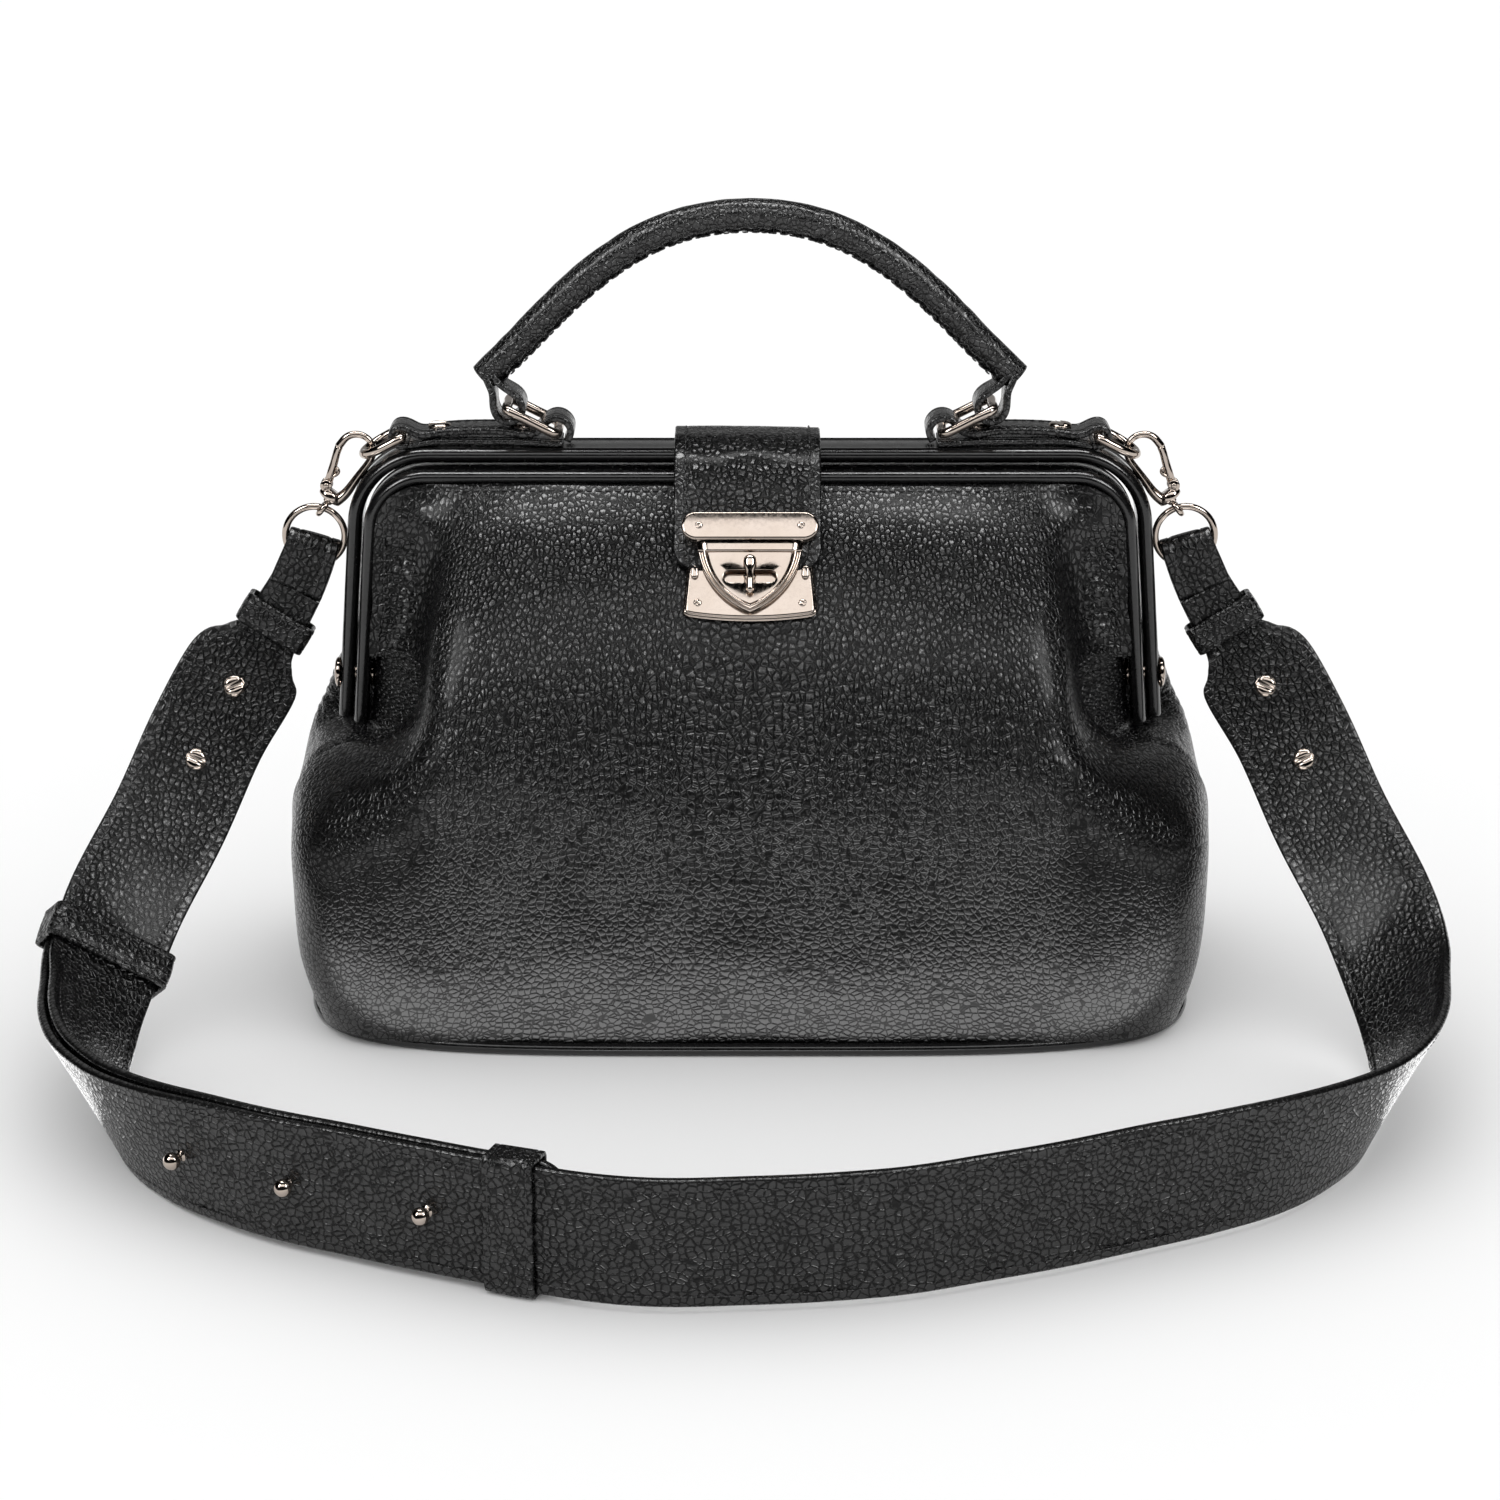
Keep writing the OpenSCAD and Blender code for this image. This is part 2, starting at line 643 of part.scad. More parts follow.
// The half turn of the strap's end through its ring
fold = [for (a = [-90:30:90])
    [fold_mid[0] + 0.3 * fold_r * cos(a), fold_r * sin(-a), fold_mid[2] + fold_r * cos(a),
     -0.96, 0, 0.28, 15.6, 0]];
tail = shifted([[-147.5, -3.1, 134, -0.95, 0, 0.3, 18], side_route[1],
    [-164.4, -8.5, 108.6, -0.88, 0, 0.48, end_w],
    [-175.9, -18, 89.7, -0.87, 0, 0.49, end_w],
    [-180, -23, 81.5, -0.87, 0, 0.49, end_w]], 0);

short_route = smooth(shifted(concat(side_route, [for (i = [0:2]) front_route[i]],
    [[-48, -243.2, 20.8, 0, 0, 1, strap_w]]), 0), 3);
long_route = smooth(concat(
    shifted(concat([[-201.2, -61, 38.8, -0.81, -0.07, 0.58, strap_w]],
                   [for (i = [7:11]) side_route[i]], [for (i = [0:2]) front_route[i]]), layer),
    shifted([front_route[3]], layer + 0.4), shifted([front_route[4]], 0.3),
    shifted([for (i = [3:-1:0]) other_side(front_route[i])], 0),
    shifted([for (i = [11:-1:0]) other_side(side_route[i])], 0)), 3);

function unit(v) = v / norm(v);
function at(r) = [r[0], r[1], r[2]];
function heading(route, i) =
    unit(at(route[min(i + 1, len(route) - 1)]) - at(route[max(i - 1, 0)]));
// Across the strip, square to its heading
function width_of(route, i) = let (t = heading(route, i), w = [route[i][3], route[i][4], route[i][5]])
    unit(w - t * (w * t));
function face_of(route, i) = cross(heading(route, i), width_of(route, i));

// A flat strip along a route, t thick, its face moved out by each row's last value
module strip(route, t) {
    n = len(route);
    pts = [for (i = [0:n - 1], c = [[-1, -1], [1, -1], [1, 1], [-1, 1]])
        at(route[i]) + width_of(route, i) * c[0] * route[i][6] / 2
            + face_of(route, i) * (route[i][7] + c[1] * t / 2)];
    function v(i, k) = i * 4 + k % 4;
    polyhedron(pts, concat(
        [for (i = [0:n - 2], k = [0:3]) each k == 2
            ? [[v(i, k), v(i, k + 1), v(i + 1, k)], [v(i, k + 1), v(i + 1, k + 1), v(i + 1, k)]]
            : [[v(i, k), v(i, k + 1), v(i + 1, k + 1)], [v(i, k), v(i + 1, k + 1), v(i + 1, k)]]],
        [[v(0, 3), v(0, 2), v(0, 1)], [v(0, 3), v(0, 1), v(0, 0)]],
        [[v(n - 1, 0), v(n - 1, 1), v(n - 1, 2)], [v(n - 1, 0), v(n - 1, 2), v(n - 1, 3)]]), 4);
}

// The folded end on the left: tail behind, half turn, and the join to the front layer
end_route = concat(
    reversed([for (i = [0:len(tail) - 1])
        let (b = face_of(tail, i) * (layer + (i == 0 ? 2.6 : 0.15)))
        [tail[i][0] + b[0], tail[i][1] + b[1], tail[i][2] + b[2],
         tail[i][3], tail[i][4], tail[i][5], tail[i][6], 0]]),
    fold, [concat(side_route[0], [0])]);

module left_end() { strip(end_route, strap_t); }

// Places a child on a route's row: local X along, local Y across, local Z out of its face
module on_route(route, i) {
    t = heading(route, i);
    w = width_of(route, i);
    f = face_of(route, i);
    c = at(route[i]);
    multmatrix([[t[0], w[0], f[0], c[0]], [t[1], w[1], f[1], c[1]], [t[2], w[2], f[2], c[2]],
                [0, 0, 0, 1]]) children();
}

screw_rows = [10, 13];      // rows of the short route that carry the end screws
module strap_holes(r) {
    for (i = screw_rows) on_route(short_route, i) cylinder(r = r, h = 14, center = true);
}
stud_rows = [4, 7, 10];     // rows of the studs, back from the front end of the short strap
function stud_row(k) = len(short_route) - 1 - k;
module stud_holes(r) {
    for (k = stud_rows) on_route(short_route, stud_row(k)) cylinder(r = r, h = 14, center = true);
}

module strap_short() {
    color(leather) difference() {
        union() {
            strip(short_route, strap_t);
            left_end();
        }
        strap_holes(1.6);
        stud_holes(1.45);
    }
}

module strap_long() {
    color(leather) difference() {
        union() {
            strip(long_route, strap_t);
            scale_x(-1) left_end();
        }
        scale_x(-1) strap_holes(1.6);
        stud_holes(1.45);
    }
}

module strap_screws(side) {
    color(nickel) scale_x(-side) for (i = screw_rows) on_route(short_route, i) {
        translate([0, 0, -strap_t / 2 - 0.1]) cylinder(r = 1.55, h = 7.4);
        translate([0, 0, -strap_t / 2 - 0.05]) rotate([180, 0, 0]) slotted_head(3.2, 1);
        translate([0, 0, layer + strap_t / 2 + 0.4]) cylinder(r = 3.2, h = 0.8);
    }
}
module strap_screws_l() { strap_screws(-1); }
module strap_screws_r() { strap_screws(1); }

module ball_studs() {
    color(nickel) for (k = stud_rows) on_route(short_route, stud_row(k)) {
        translate([0, 0, -strap_t / 2 - 1.3]) cylinder(r = 3.4, h = 0.8);
        translate([0, 0, -strap_t / 2 - 0.6]) cylinder(r = 1.25, h = 10);
        translate([0, 0, 9]) sphere(r = 2.6);
    }
}

// A sleeve round two strap layers: across it w, through it from low to high, along it len
module sleeve(w, low, high, along) {
    wall = 1.6;
    difference() {
        translate([-along / 2, -w / 2 - wall, low - wall])
            cube([along, w + 2 * wall, high - low + 2 * wall]);
        translate([-along, -w / 2, low]) cube([2 * along, w, high - low]);
    }
}

keeper_row = 3;
module keeper_end(side) {
    color(leather) scale_x(-side) on_route(short_route, keeper_row)
        translate([-3.5, 0, 0]) sleeve(end_w + 1.4, -2.3, 6.4, 9.5);
}
module keeper_end_l() { keeper_end(-1); }
module keeper_end_r() { keeper_end(1); }

module keeper_side() {
    color(leather) on_route(short_route, 20) sleeve(strap_w + 1.6, -3.3, 7, 12);
}

module keeper_front() {
    color(leather) on_route(short_route, len(short_route) - 3)
        sleeve(strap_w + 0.4, -2.4, 6, 15);
}

base_panel();
base_piping();
base_board();
front_panel_lower();
front_panel_upper();
back_panel();
end_panel_l();
end_panel_r();
gusset_l();
gusset_r();
lining();
back_hoop_cover();
back_hoop_core();
front_hoop_cover();
front_hoop_core();
hinge_rivet_l();
hinge_rivet_r();
hinge_washers();
flap();
flap_tail();
hasp();
hasp_screws();
lock_plate();
lock_screws();
lock_backing();
turn_knob();
tab_l();
tab_r();
tab_screws_l();
tab_screws_r();
handle_ring_l();
handle_ring_r();
strap_dring_l();
strap_dring_r();
handle_roll();
handle_core();
handle_loop_l();
handle_loop_r();
hook_l();
hook_r_node();  // hook_r
hook_gate_l();
hook_gate_r();
gate_pin_l();
gate_pin_r();
swivel_l();
swivel_r();
strap_ring_l();
strap_ring_r();
strap_short();
strap_long();
keeper_end_l();
keeper_end_r();
keeper_side();
keeper_front();
strap_screws_l();
strap_screws_r();
ball_studs();
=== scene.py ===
"""Looks for a leather doctor bag: body, hoops, flap, turn lock, handle and shoulder strap."""

import math

import bpy
import numpy as np
from mathutils import Matrix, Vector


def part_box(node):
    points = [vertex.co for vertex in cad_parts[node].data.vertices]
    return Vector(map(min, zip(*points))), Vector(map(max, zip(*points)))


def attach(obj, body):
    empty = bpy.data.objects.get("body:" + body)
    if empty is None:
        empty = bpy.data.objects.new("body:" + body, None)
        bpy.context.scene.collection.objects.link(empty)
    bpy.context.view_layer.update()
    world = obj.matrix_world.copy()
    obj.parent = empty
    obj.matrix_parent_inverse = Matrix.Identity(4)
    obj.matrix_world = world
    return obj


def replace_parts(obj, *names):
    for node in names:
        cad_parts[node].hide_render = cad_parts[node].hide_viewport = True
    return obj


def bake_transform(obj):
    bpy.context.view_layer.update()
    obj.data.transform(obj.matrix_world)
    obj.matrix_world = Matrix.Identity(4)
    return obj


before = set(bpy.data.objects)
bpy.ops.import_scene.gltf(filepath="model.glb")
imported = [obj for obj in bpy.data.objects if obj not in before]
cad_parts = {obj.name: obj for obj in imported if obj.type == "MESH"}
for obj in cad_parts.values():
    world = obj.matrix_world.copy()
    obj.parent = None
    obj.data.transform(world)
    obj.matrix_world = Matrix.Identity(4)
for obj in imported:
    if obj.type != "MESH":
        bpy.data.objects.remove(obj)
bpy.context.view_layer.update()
FINE = 2       # how much finer the grids are
MM = 0.001                          # the script's own lengths are mm
X, Y, Z = np.eye(3)
SIDES = (("l", -1), ("r", 1))


# ---- small tools -----------------------------------------------------------
def vec(*v):
    return np.array(v, float)


def unit(v):
    return v / np.maximum(np.linalg.norm(v, axis=-1, keepdims=True), 1e-12)


def hash_noise(p, seed):
    """Smooth value noise from 0 to 1 at points p (n, 3), one cell per unit."""
    i = np.floor(p).astype(np.int64)
    f = p - i
    f = f * f * (3 - 2 * f)
    out = np.zeros(len(p))
    for corner in range(8):
        d = np.array([(corner >> k) & 1 for k in range(3)])
        q = i + d
        h = (q[:, 0] * 374761393 + q[:, 1] * 668265263 + q[:, 2] * 2147483647 + seed * 974634777)
        h = (h ^ (h >> 13)) * 1274126177
        h = ((h ^ (h >> 16)) & 0xFFFFFF) / float(0xFFFFFF)
        out += h * np.prod(np.where(d == 1, f, 1 - f), axis=1)
    return out


def spline(t, y, x):
    """Natural cubic spline through (t, y), read at x. y may have further axes."""
    t, x = np.asarray(t, float), np.asarray(x, float)
    n, h, flat = len(t), np.diff(t), np.asarray(y, float).reshape(len(t), -1)
    a, r = np.eye(n), np.zeros_like(flat)
    for i in range(1, n - 1):
        a[i, i - 1], a[i, i], a[i, i + 1] = h[i - 1], 2 * (h[i - 1] + h[i]), h[i]
        r[i] = 6 * ((flat[i + 1] - flat[i]) / h[i] - (flat[i] - flat[i - 1]) / h[i - 1])
    m = np.linalg.solve(a, r)
    k = np.clip(np.searchsorted(t, x) - 1, 0, n - 2)
    u, v, hk = (x - t[k])[:, None], (t[k + 1] - x)[:, None], h[k][:, None]
    out = (m[k] * v ** 3 + m[k + 1] * u ** 3) / (6 * hk)
    out += (flat[k] / hk - m[k] * hk / 6) * v + (flat[k + 1] / hk - m[k + 1] * hk / 6) * u
    return out.reshape((len(x),) + np.shape(y)[1:])


def knots(net, axis):
    """Knot values along an axis of a control net, from its mean spacing."""
    step = np.linalg.norm(np.diff(net, axis=axis), axis=-1).mean(axis=1 - axis)
    return np.concatenate([[0], np.cumsum(np.maximum(step, 0.5) ** 0.8)])


def between(t, counts):
    """Values from knot to knot, counts steps in each span, and the index of each knot."""
    xs, at = [t[0]], [0]
    for a, b, n in zip(t[:-1], t[1:], counts):
        xs += list(a + (b - a) * np.arange(1, n + 1) / n)
        at.append(len(xs) - 1)
    return np.array(xs), at


def surface(net, step):
    """A smooth surface through a control net (rows, columns, 3), sampled every step mm."""
    net = np.asarray(net, float)
    grids, index = [], []
    for axis in (0, 1):
        t = knots(net, axis)
        length = np.linalg.norm(np.diff(net, axis=axis), axis=-1).mean(axis=1 - axis)
        xs, at = between(t, np.maximum(np.ceil(length / step), 2).astype(int))
        grids.append((t, xs))
        index.append(at)
    rows = spline(grids[0][0], net, grids[0][1])
    full = spline(grids[1][0], rows.swapaxes(0, 1), grids[1][1]).swapaxes(0, 1)
    return full, index[0], index[1]


def normals(p):
    """Unit normals of a grid of points."""
    return unit(np.cross(np.gradient(p, axis=1), np.gradient(p, axis=0)))


def relax(p, times):
    """Smooths a grid of points, its edges apart."""
    for _ in range(times):
        q = p.copy()
        q[1:-1, 1:-1] = (p[:-2, 1:-1] + p[2:, 1:-1] + p[1:-1, :-2] + p[1:-1, 2:]) / 4
        p = p * 0.4 + q * 0.6
    return p


def grid_faces(rows, cols, wrap=False, keep=None):
    """Quads over a grid of rows by cols points. wrap joins the last column to the first."""
    i, j = np.meshgrid(np.arange(rows - 1), np.arange(cols if wrap else cols - 1), indexing="ij")
    if keep is not None:
        i, j = i[keep], j[keep]
    i, j, k = i.ravel(), j.ravel(), (j.ravel() + 1) % cols
    return np.stack([i * cols + j, i * cols + k, (i + 1) * cols + k, (i + 1) * cols + j], 1)


def caps(n, m):
    """End faces of a tube of n rings with m points each."""
    return [list(range(m))[::-1], [(n - 1) * m + k for k in range(m)]]


def new(name, verts, faces, material, body=None, extra=None):
    """A mesh object from points in mm."""
    mesh = bpy.data.meshes.new(name)
    faces = faces.tolist() if isinstance(faces, np.ndarray) else [list(map(int, f)) for f in faces]
    mesh.from_pydata((np.asarray(verts, float) * MM).tolist(), [], faces)
    for key, data in (extra or {}).items():
        data = np.asarray(data, np.float32)
        kind = "FLOAT_VECTOR" if data.ndim == 2 else "FLOAT"
        a = mesh.attributes.new(key, kind, "POINT")
        a.data.foreach_set("vector" if data.ndim == 2 else "value", data.ravel())
    mesh.shade_smooth()
    mesh.materials.append(material)
    obj = bpy.data.objects.new(name, mesh)
    bpy.context.scene.collection.objects.link(obj)
    if body:
        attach(obj, body)
    return obj


def settle(obj, *mods):
    """Adds modifiers and keeps their result as the mesh."""
    for kind, values in mods:
        m = obj.modifiers.new(kind, kind)
        for key, value in values.items():
            setattr(m, key, value)
    deps = bpy.context.evaluated_depsgraph_get()
    mesh = bpy.data.meshes.new_from_object(obj.evaluated_get(deps))
    obj.modifiers.clear()
    obj.data = mesh
    return obj


def thick(mm, bevel, segments=2):
    """Modifiers that give a surface a thickness and round its edges."""
    return [("SOLIDIFY", {"thickness": mm * MM, "offset": -1.0, "use_even_offset": True}),
            ("BEVEL", {"width": bevel * MM, "segments": segments, "limit_method": "ANGLE",
                       "angle_limit": math.radians(50)})]


class Pile:
    """Collects several shapes into one mesh."""

    def __init__(self):
        self.verts, self.faces, self.extra, self.count = [], [], {}, 0

    def add(self, verts, faces, **extra):
        verts = np.asarray(verts, float).reshape(-1, 3)
        self.faces += [[int(k) + self.count for k in f] for f in faces]
        self.verts.append(verts)
        for key, data in extra.items():
            self.extra.setdefault(key, []).append(np.asarray(data, float))
        self.count += len(verts)
        return self

    def done(self, name, material, slot, body=None):
        extra = {k: np.concatenate(v) for k, v in self.extra.items()}
        return new(name, np.concatenate(self.verts), self.faces, material, body, extra)


def sweep(path, a, b, profile, closed=False, round_ends=0.0):
    """Verts and faces of a profile (m, 2) or (n, m, 2) carried along path with axes a and b."""
    path = np.asarray(path, float)
    a, b = np.broadcast_to(a, path.shape), np.broadcast_to(b, path.shape)
    n = len(path)
    prof = np.broadcast_to(np.asarray(profile, float), (n,) + np.shape(profile)[-2:]).copy()
    if round_ends and not closed:
        t = unit(np.gradient(path, axis=0))
        head, tail, ends = [], [], np.array([0.35, 0.7, 0.92])
        mid = prof.mean(axis=1, keepdims=True)
        for k, s in enumerate(ends):
            back = round_ends * (1 - math.sqrt(1 - (1 - s) ** 2))
            shrink = 1 - round_ends * (1 - s) / max(np.ptp(prof[0], axis=0).min() / 2, 1e-6)
            head.append((path[0] - t[0] * (round_ends - back), mid[0] + (prof[0] - mid[0]) * shrink))
            tail.append((path[-1] + t[-1] * (round_ends - back),
                         mid[-1] + (prof[-1] - mid[-1]) * shrink))
        path = np.concatenate([[h[0] for h in head], path, [x[0] for x in tail[::-1]]])
        prof = np.concatenate([[h[1] for h in head], prof, [x[1] for x in tail[::-1]]])
        a = np.concatenate([[a[0]] * 3, a, [a[-1]] * 3])
        b = np.concatenate([[b[0]] * 3, b, [b[-1]] * 3])
        n = len(path)
    m = prof.shape[1]
    verts = path[:, None] + a[:, None] * prof[..., :1] + b[:, None] * prof[..., 1:]
    faces = grid_faces(n + (1 if closed else 0), m, wrap=True) % (n * m)
    return verts.reshape(-1, 3), faces.tolist() + ([] if closed else caps(n, m))


def circle(r, m):
    t = np.arange(m) * 2 * math.pi / m
    return np.stack([r * np.cos(t), r * np.sin(t)], 1)


def round_rect(w, h, r, n):
    """Outline of a w by h rectangle with corners of radius r."""
    pts = []
    for cx, cy, a0 in ((1, 1, 0), (-1, 1, 90), (-1, -1, 180), (1, -1, 270)):
        for k in range(n + 1):
            t = math.radians(a0 + 90 * k / n)
            pts.append((cx * (w / 2 - r) + r * math.cos(t), cy * (h / 2 - r) + r * math.sin(t)))
    return np.array(pts)


def axes_for(path, up):
    """Two axes square to a path: a near up, and b."""
    t = unit(np.gradient(np.asarray(path, float), axis=0))
    up = np.broadcast_to(np.asarray(up, float), t.shape)
    a = unit(up - t * (up * t).sum(1, keepdims=True))
    return a, np.cross(t, a)


def curve(points, n, closed=False):
    """Smooth curve through points, n steps a span."""
    p = np.asarray(points, float)
    if closed:
        p = np.concatenate([p[-3:], p, p[:3]])
    t = np.concatenate([[0], np.cumsum(np.linalg.norm(np.diff(p, axis=0), axis=1) ** 0.7)])
    lo, hi = (3, len(p) - 3) if closed else (0, len(p) - 1)
    x = np.concatenate([np.linspace(t[i], t[i + 1], n, endpoint=False) for i in range(lo, hi)])
    if not closed:
        x = np.append(x, t[-1])
    return spline(t, p, x)


def lengths(path):
    """Distance along a path at each of its points."""
    return np.concatenate([[0], np.cumsum(np.linalg.norm(np.diff(path, axis=0), axis=1))])


def resample(path, step):
    """The path with points at even steps."""
    s = lengths(path)
    x = np.linspace(0, s[-1], max(int(round(s[-1] / step)), 1) + 1)
    return np.stack([np.interp(x, s, path[:, k]) for k in range(path.shape[1])], 1)


def stitch_line(pile, path, normal, pitch, r, lift=0.14):
    """Adds a row of short thread stitches along a path that lies on a surface."""
    both = resample(np.concatenate([path, np.broadcast_to(normal, np.shape(path))], 1), pitch)
    for p, q in zip(both[:-1], both[1:]):
        d = q[:3] - p[:3]
        n = unit(p[3:] + q[3:])
        mid = (p[:3] + q[:3]) / 2 + n * lift
        t = unit(d)
        side = np.cross(t, n)
        half = np.linalg.norm(d) * 0.7 / 2
        at = np.array([-1, -0.75, 0, 0.75, 1]) * half
        size = np.array([0.25, 0.85, 1, 0.85, 0.25]) * r
        sink = np.array([-0.5, -0.12, 0, -0.12, -0.5]) * r * 1.3
        line = mid + t * at[:, None] + n * sink[:, None]
        prof = size[:, None, None] * circle(1, 6)[None]
        pile.add(*sweep(line, side, n, prof))


def mirror(pts):
    """Points on the other side of the bag's middle plane."""
    return np.asarray(pts) * vec(-1, 1, 1)


def sided(v, f, s):
    """A shape made for the right side: as it is for s = 1, mirrored for s = -1."""
    return (v, f) if s > 0 else (mirror(v), [q[::-1] for q in f])


def ribbon(c):
    """A path in the XZ plane from points (x, z), and its outward axis."""
    path = np.column_stack([c[:, 0], np.zeros(len(c)), c[:, 1]])
    out = np.cross(unit(np.gradient(path, axis=0)), Y)
    return path, out * (-1 if out[len(out) // 2, 2] < 0 else 1)


# ---- materials -------------------------------------------------------------
class Nodes:
    """Small helper to wire shader nodes."""

    def __init__(self, name):
        self.mat = bpy.data.materials.new(name)
        self.mat.use_nodes = True
        self.tree = self.mat.node_tree
        self.shader = self.tree.nodes["Principled BSDF"]

    def put(self, kind, inputs=None, **props):
        node = self.tree.nodes.new(kind)
        for key, value in props.items():
            setattr(node, key, value)
        for key, value in (inputs or {}).items():
            self.set(node.inputs[key], value)
        return node

    def set(self, socket, value):
        if hasattr(value, "is_output") or isinstance(value, bpy.types.NodeSocket):
            self.tree.links.new(value, socket)
        else:
            socket.default_value = value

    def math(self, op, a, b=0.0, clamp=False):
        node = self.put("ShaderNodeMath", operation=op, use_clamp=clamp)
        self.set(node.inputs[0], a)
        self.set(node.inputs[1], b)
        return node.outputs[0]

    def ranged(self, value, a, b, c, d):
        """value from a to b mapped smoothly to c to d."""
        node = self.put("ShaderNodeMapRange", interpolation_type="SMOOTHSTEP")
        for k, v in enumerate((value, a, b, c, d)):
            self.set(node.inputs[k], v)
        return node.outputs[0]

    def mix(self, f, a, b):
        node = self.put("ShaderNodeMix", data_type="RGBA")
        self.set(node.inputs[0], f)
        self.set(node.inputs[6], a)
        self.set(node.inputs[7], b)
        return node.outputs[2]

    def scaled(self, source, scale):
        node = self.put("ShaderNodeVectorMath", {0: source}, operation="MULTIPLY")
        node.inputs[1].default_value = scale
        return node.outputs[0]

    def noise(self, vector, scale, detail, roughness=0.5):
        return self.put("ShaderNodeTexNoise", {"Vector": vector, "Scale": scale, "Detail": detail,
                                               "Roughness": roughness}).outputs["Fac"]

    def cells(self, vector, scale, randomness=1.0, feature="DISTANCE_TO_EDGE"):
        return self.put("ShaderNodeTexVoronoi", {"Vector": vector, "Scale": scale,
                        "Randomness": randomness}, feature=feature).outputs["Distance"]

    def finish(self, **inputs):
        """Sets the shader's inputs, named with underscores for spaces, and gives the material."""
        for key, value in inputs.items():
            self.set(self.shader.inputs[key.replace("_", " ")], value)
        return self.mat

    def bump(self, height, distance, strength, base=None):
        node = self.put("ShaderNodeBump", {"Height": height, "Distance": distance})
        self.set(node.inputs["Strength"], strength)
        if base is not None:
            self.set(node.inputs["Normal"], base)
        return node.outputs[0]


def tint(color, k=1.0):
    """A colour times k, with alpha."""
    return (*(np.array(color) * k), 1)


def leather(name, rough, depth, coat, spec, groove=0.13, crease=0.0):
    """Pebbled full-grain leather, with painted shade darkening the valleys between the pebbles. The
    grain attribute holds cell coordinates, grip the relief.
    """
    color, cell = (0.0030, 0.0029, 0.0031), 1.06
    n = Nodes(name)
    g = n.put("ShaderNodeAttribute", attribute_name="grain").outputs["Vector"]
    grip = n.put("ShaderNodeAttribute", attribute_name="grip").outputs["Fac"]
    g = n.scaled(g, (cell,) * 3)
    warp = n.put("ShaderNodeTexNoise", {"Vector": g, "Scale": 0.8, "Detail": 2.0})
    shift = n.put("ShaderNodeVectorMath", {0: warp.outputs["Color"]}, operation="SUBTRACT")
    shift.inputs[1].default_value = (0.5, 0.5, 0.5)
    scaled = n.scaled(shift.outputs[0], (0.45, 0.45, 0.45))
    g2 = n.put("ShaderNodeVectorMath", {0: g, 1: scaled}, operation="ADD").outputs[0]
    edge = n.cells(g2, 1.0, 0.95)
    near = n.cells(g2, 1.0, 0.95, "F1")
    small = n.cells(g2, 2.7)
    fine = n.noise(g2, 6.0, 4.0, 0.65)
    blotch = n.noise(g, 0.13, 3.0)
    valley = n.ranged(edge, 0.0, groove, 0.0, 1.0)
    dome = n.ranged(near, 0.0, 0.75, 1.0, 0.0)
    pits = n.ranged(small, 0.0, 0.1, 0.0, 1.0)
    height = n.ranged(edge, 0.0, 0.2, 0.0, 1.0)
    height = n.math("ADD", height, n.math("MULTIPLY", dome, 0.6))
    height = n.math("ADD", height, n.math("MULTIPLY", pits, 0.05))
    height = n.math("ADD", height, n.math("MULTIPLY", fine, 0.03))
    strength = n.math("MULTIPLY", grip, n.ranged(blotch, 0.3, 0.7, 0.72, 1.0), clamp=True)
    bump = n.bump(height, depth * MM, strength)
    if crease:
        long = n.noise(n.scaled(g, (0.5, 0.5, 2.4)), 1.0, 3.0)
        bump = n.bump(long, crease * MM, 1.0, bump)
    # painted shade: the base colour drops to a quarter in the grain's valleys, where shade falls between
    # pebbles; specular is lowered there too
    valley_painted_shade = n.mix(valley, tint(color, 0.25), tint(color))
    tone = n.mix(n.ranged(blotch, 0.35, 0.75, 0.0, 0.35), valley_painted_shade, tint(color, (1.5, 1.5, 1.55)))
    r = n.math("ADD", n.ranged(valley, 0, 1, rough + 0.16, rough),
               n.math("MULTIPLY", n.math("SUBTRACT", fine, 0.5), 0.14))
    return n.finish(Base_Color=tone, Roughness=r, Coat_Weight=coat, Coat_Roughness=0.2, Normal=bump,
                    Specular_IOR_Level=n.ranged(valley, 0, 1, spec * 0.3, spec))


def smooth_leather(name, rough, depth):
    """Thin polished edge leather with fine creases."""
    color, scale = (0.0032, 0.0031, 0.0033), 420.0
    n = Nodes(name)
    c = n.put("ShaderNodeTexCoord").outputs["Object"]
    a = n.noise(c, scale, 5.0, 0.6)
    wide = n.noise(c, 60.0, 2.0)
    crease = n.math("MULTIPLY", n.ranged(n.cells(c, scale * 1.3), 0, 0.12, 0, 1), 0.35)
    h = n.math("ADD", n.math("MULTIPLY", a, 0.8), crease)
    return n.finish(Base_Color=n.mix(n.ranged(wide, 0.3, 0.7, 0, 1), tint(color), tint(color, 1.7)),
                    Roughness=n.ranged(a, 0.3, 0.7, rough - 0.06, rough + 0.12),
                    Normal=n.bump(h, depth * MM, 0.9), Coat_Weight=0.25, Coat_Roughness=0.15)


def metal(name, color=(0.5, 0.43, 0.38), rough=0.08, scratch=0.012):
    """Polished warm nickel with faint wear."""
    n = Nodes(name)
    c = n.put("ShaderNodeTexCoord").outputs["Object"]
    a, b = n.noise(c, 900.0, 4.0), n.noise(c, 90.0, 2.0)
    worn = tint(color, (0.93, 0.92, 0.9))
    return n.finish(Base_Color=n.mix(n.ranged(b, 0.3, 0.7, 0, 1), tint(color), worn), Metallic=1.0,
                    Roughness=n.ranged(a, 0.3, 0.75, rough, rough + 0.09),
                    Normal=n.bump(b, scratch * MM, 0.6))


def plain(name, color, rough, scale, depth, spec):
    """Board and thread: one colour with a fine uneven surface."""
    n = Nodes(name)
    a = n.noise(n.put("ShaderNodeTexCoord").outputs["Object"], scale, 4.0)
    return n.finish(Base_Color=n.mix(n.ranged(a, 0.3, 0.7, 0, 1), tint(color), tint(color, 1.35)),
                    Roughness=n.ranged(a, 0.3, 0.7, rough - 0.08, rough + 0.08),
                    Specular_IOR_Level=spec, Normal=n.bump(a, depth * MM, 1.0))


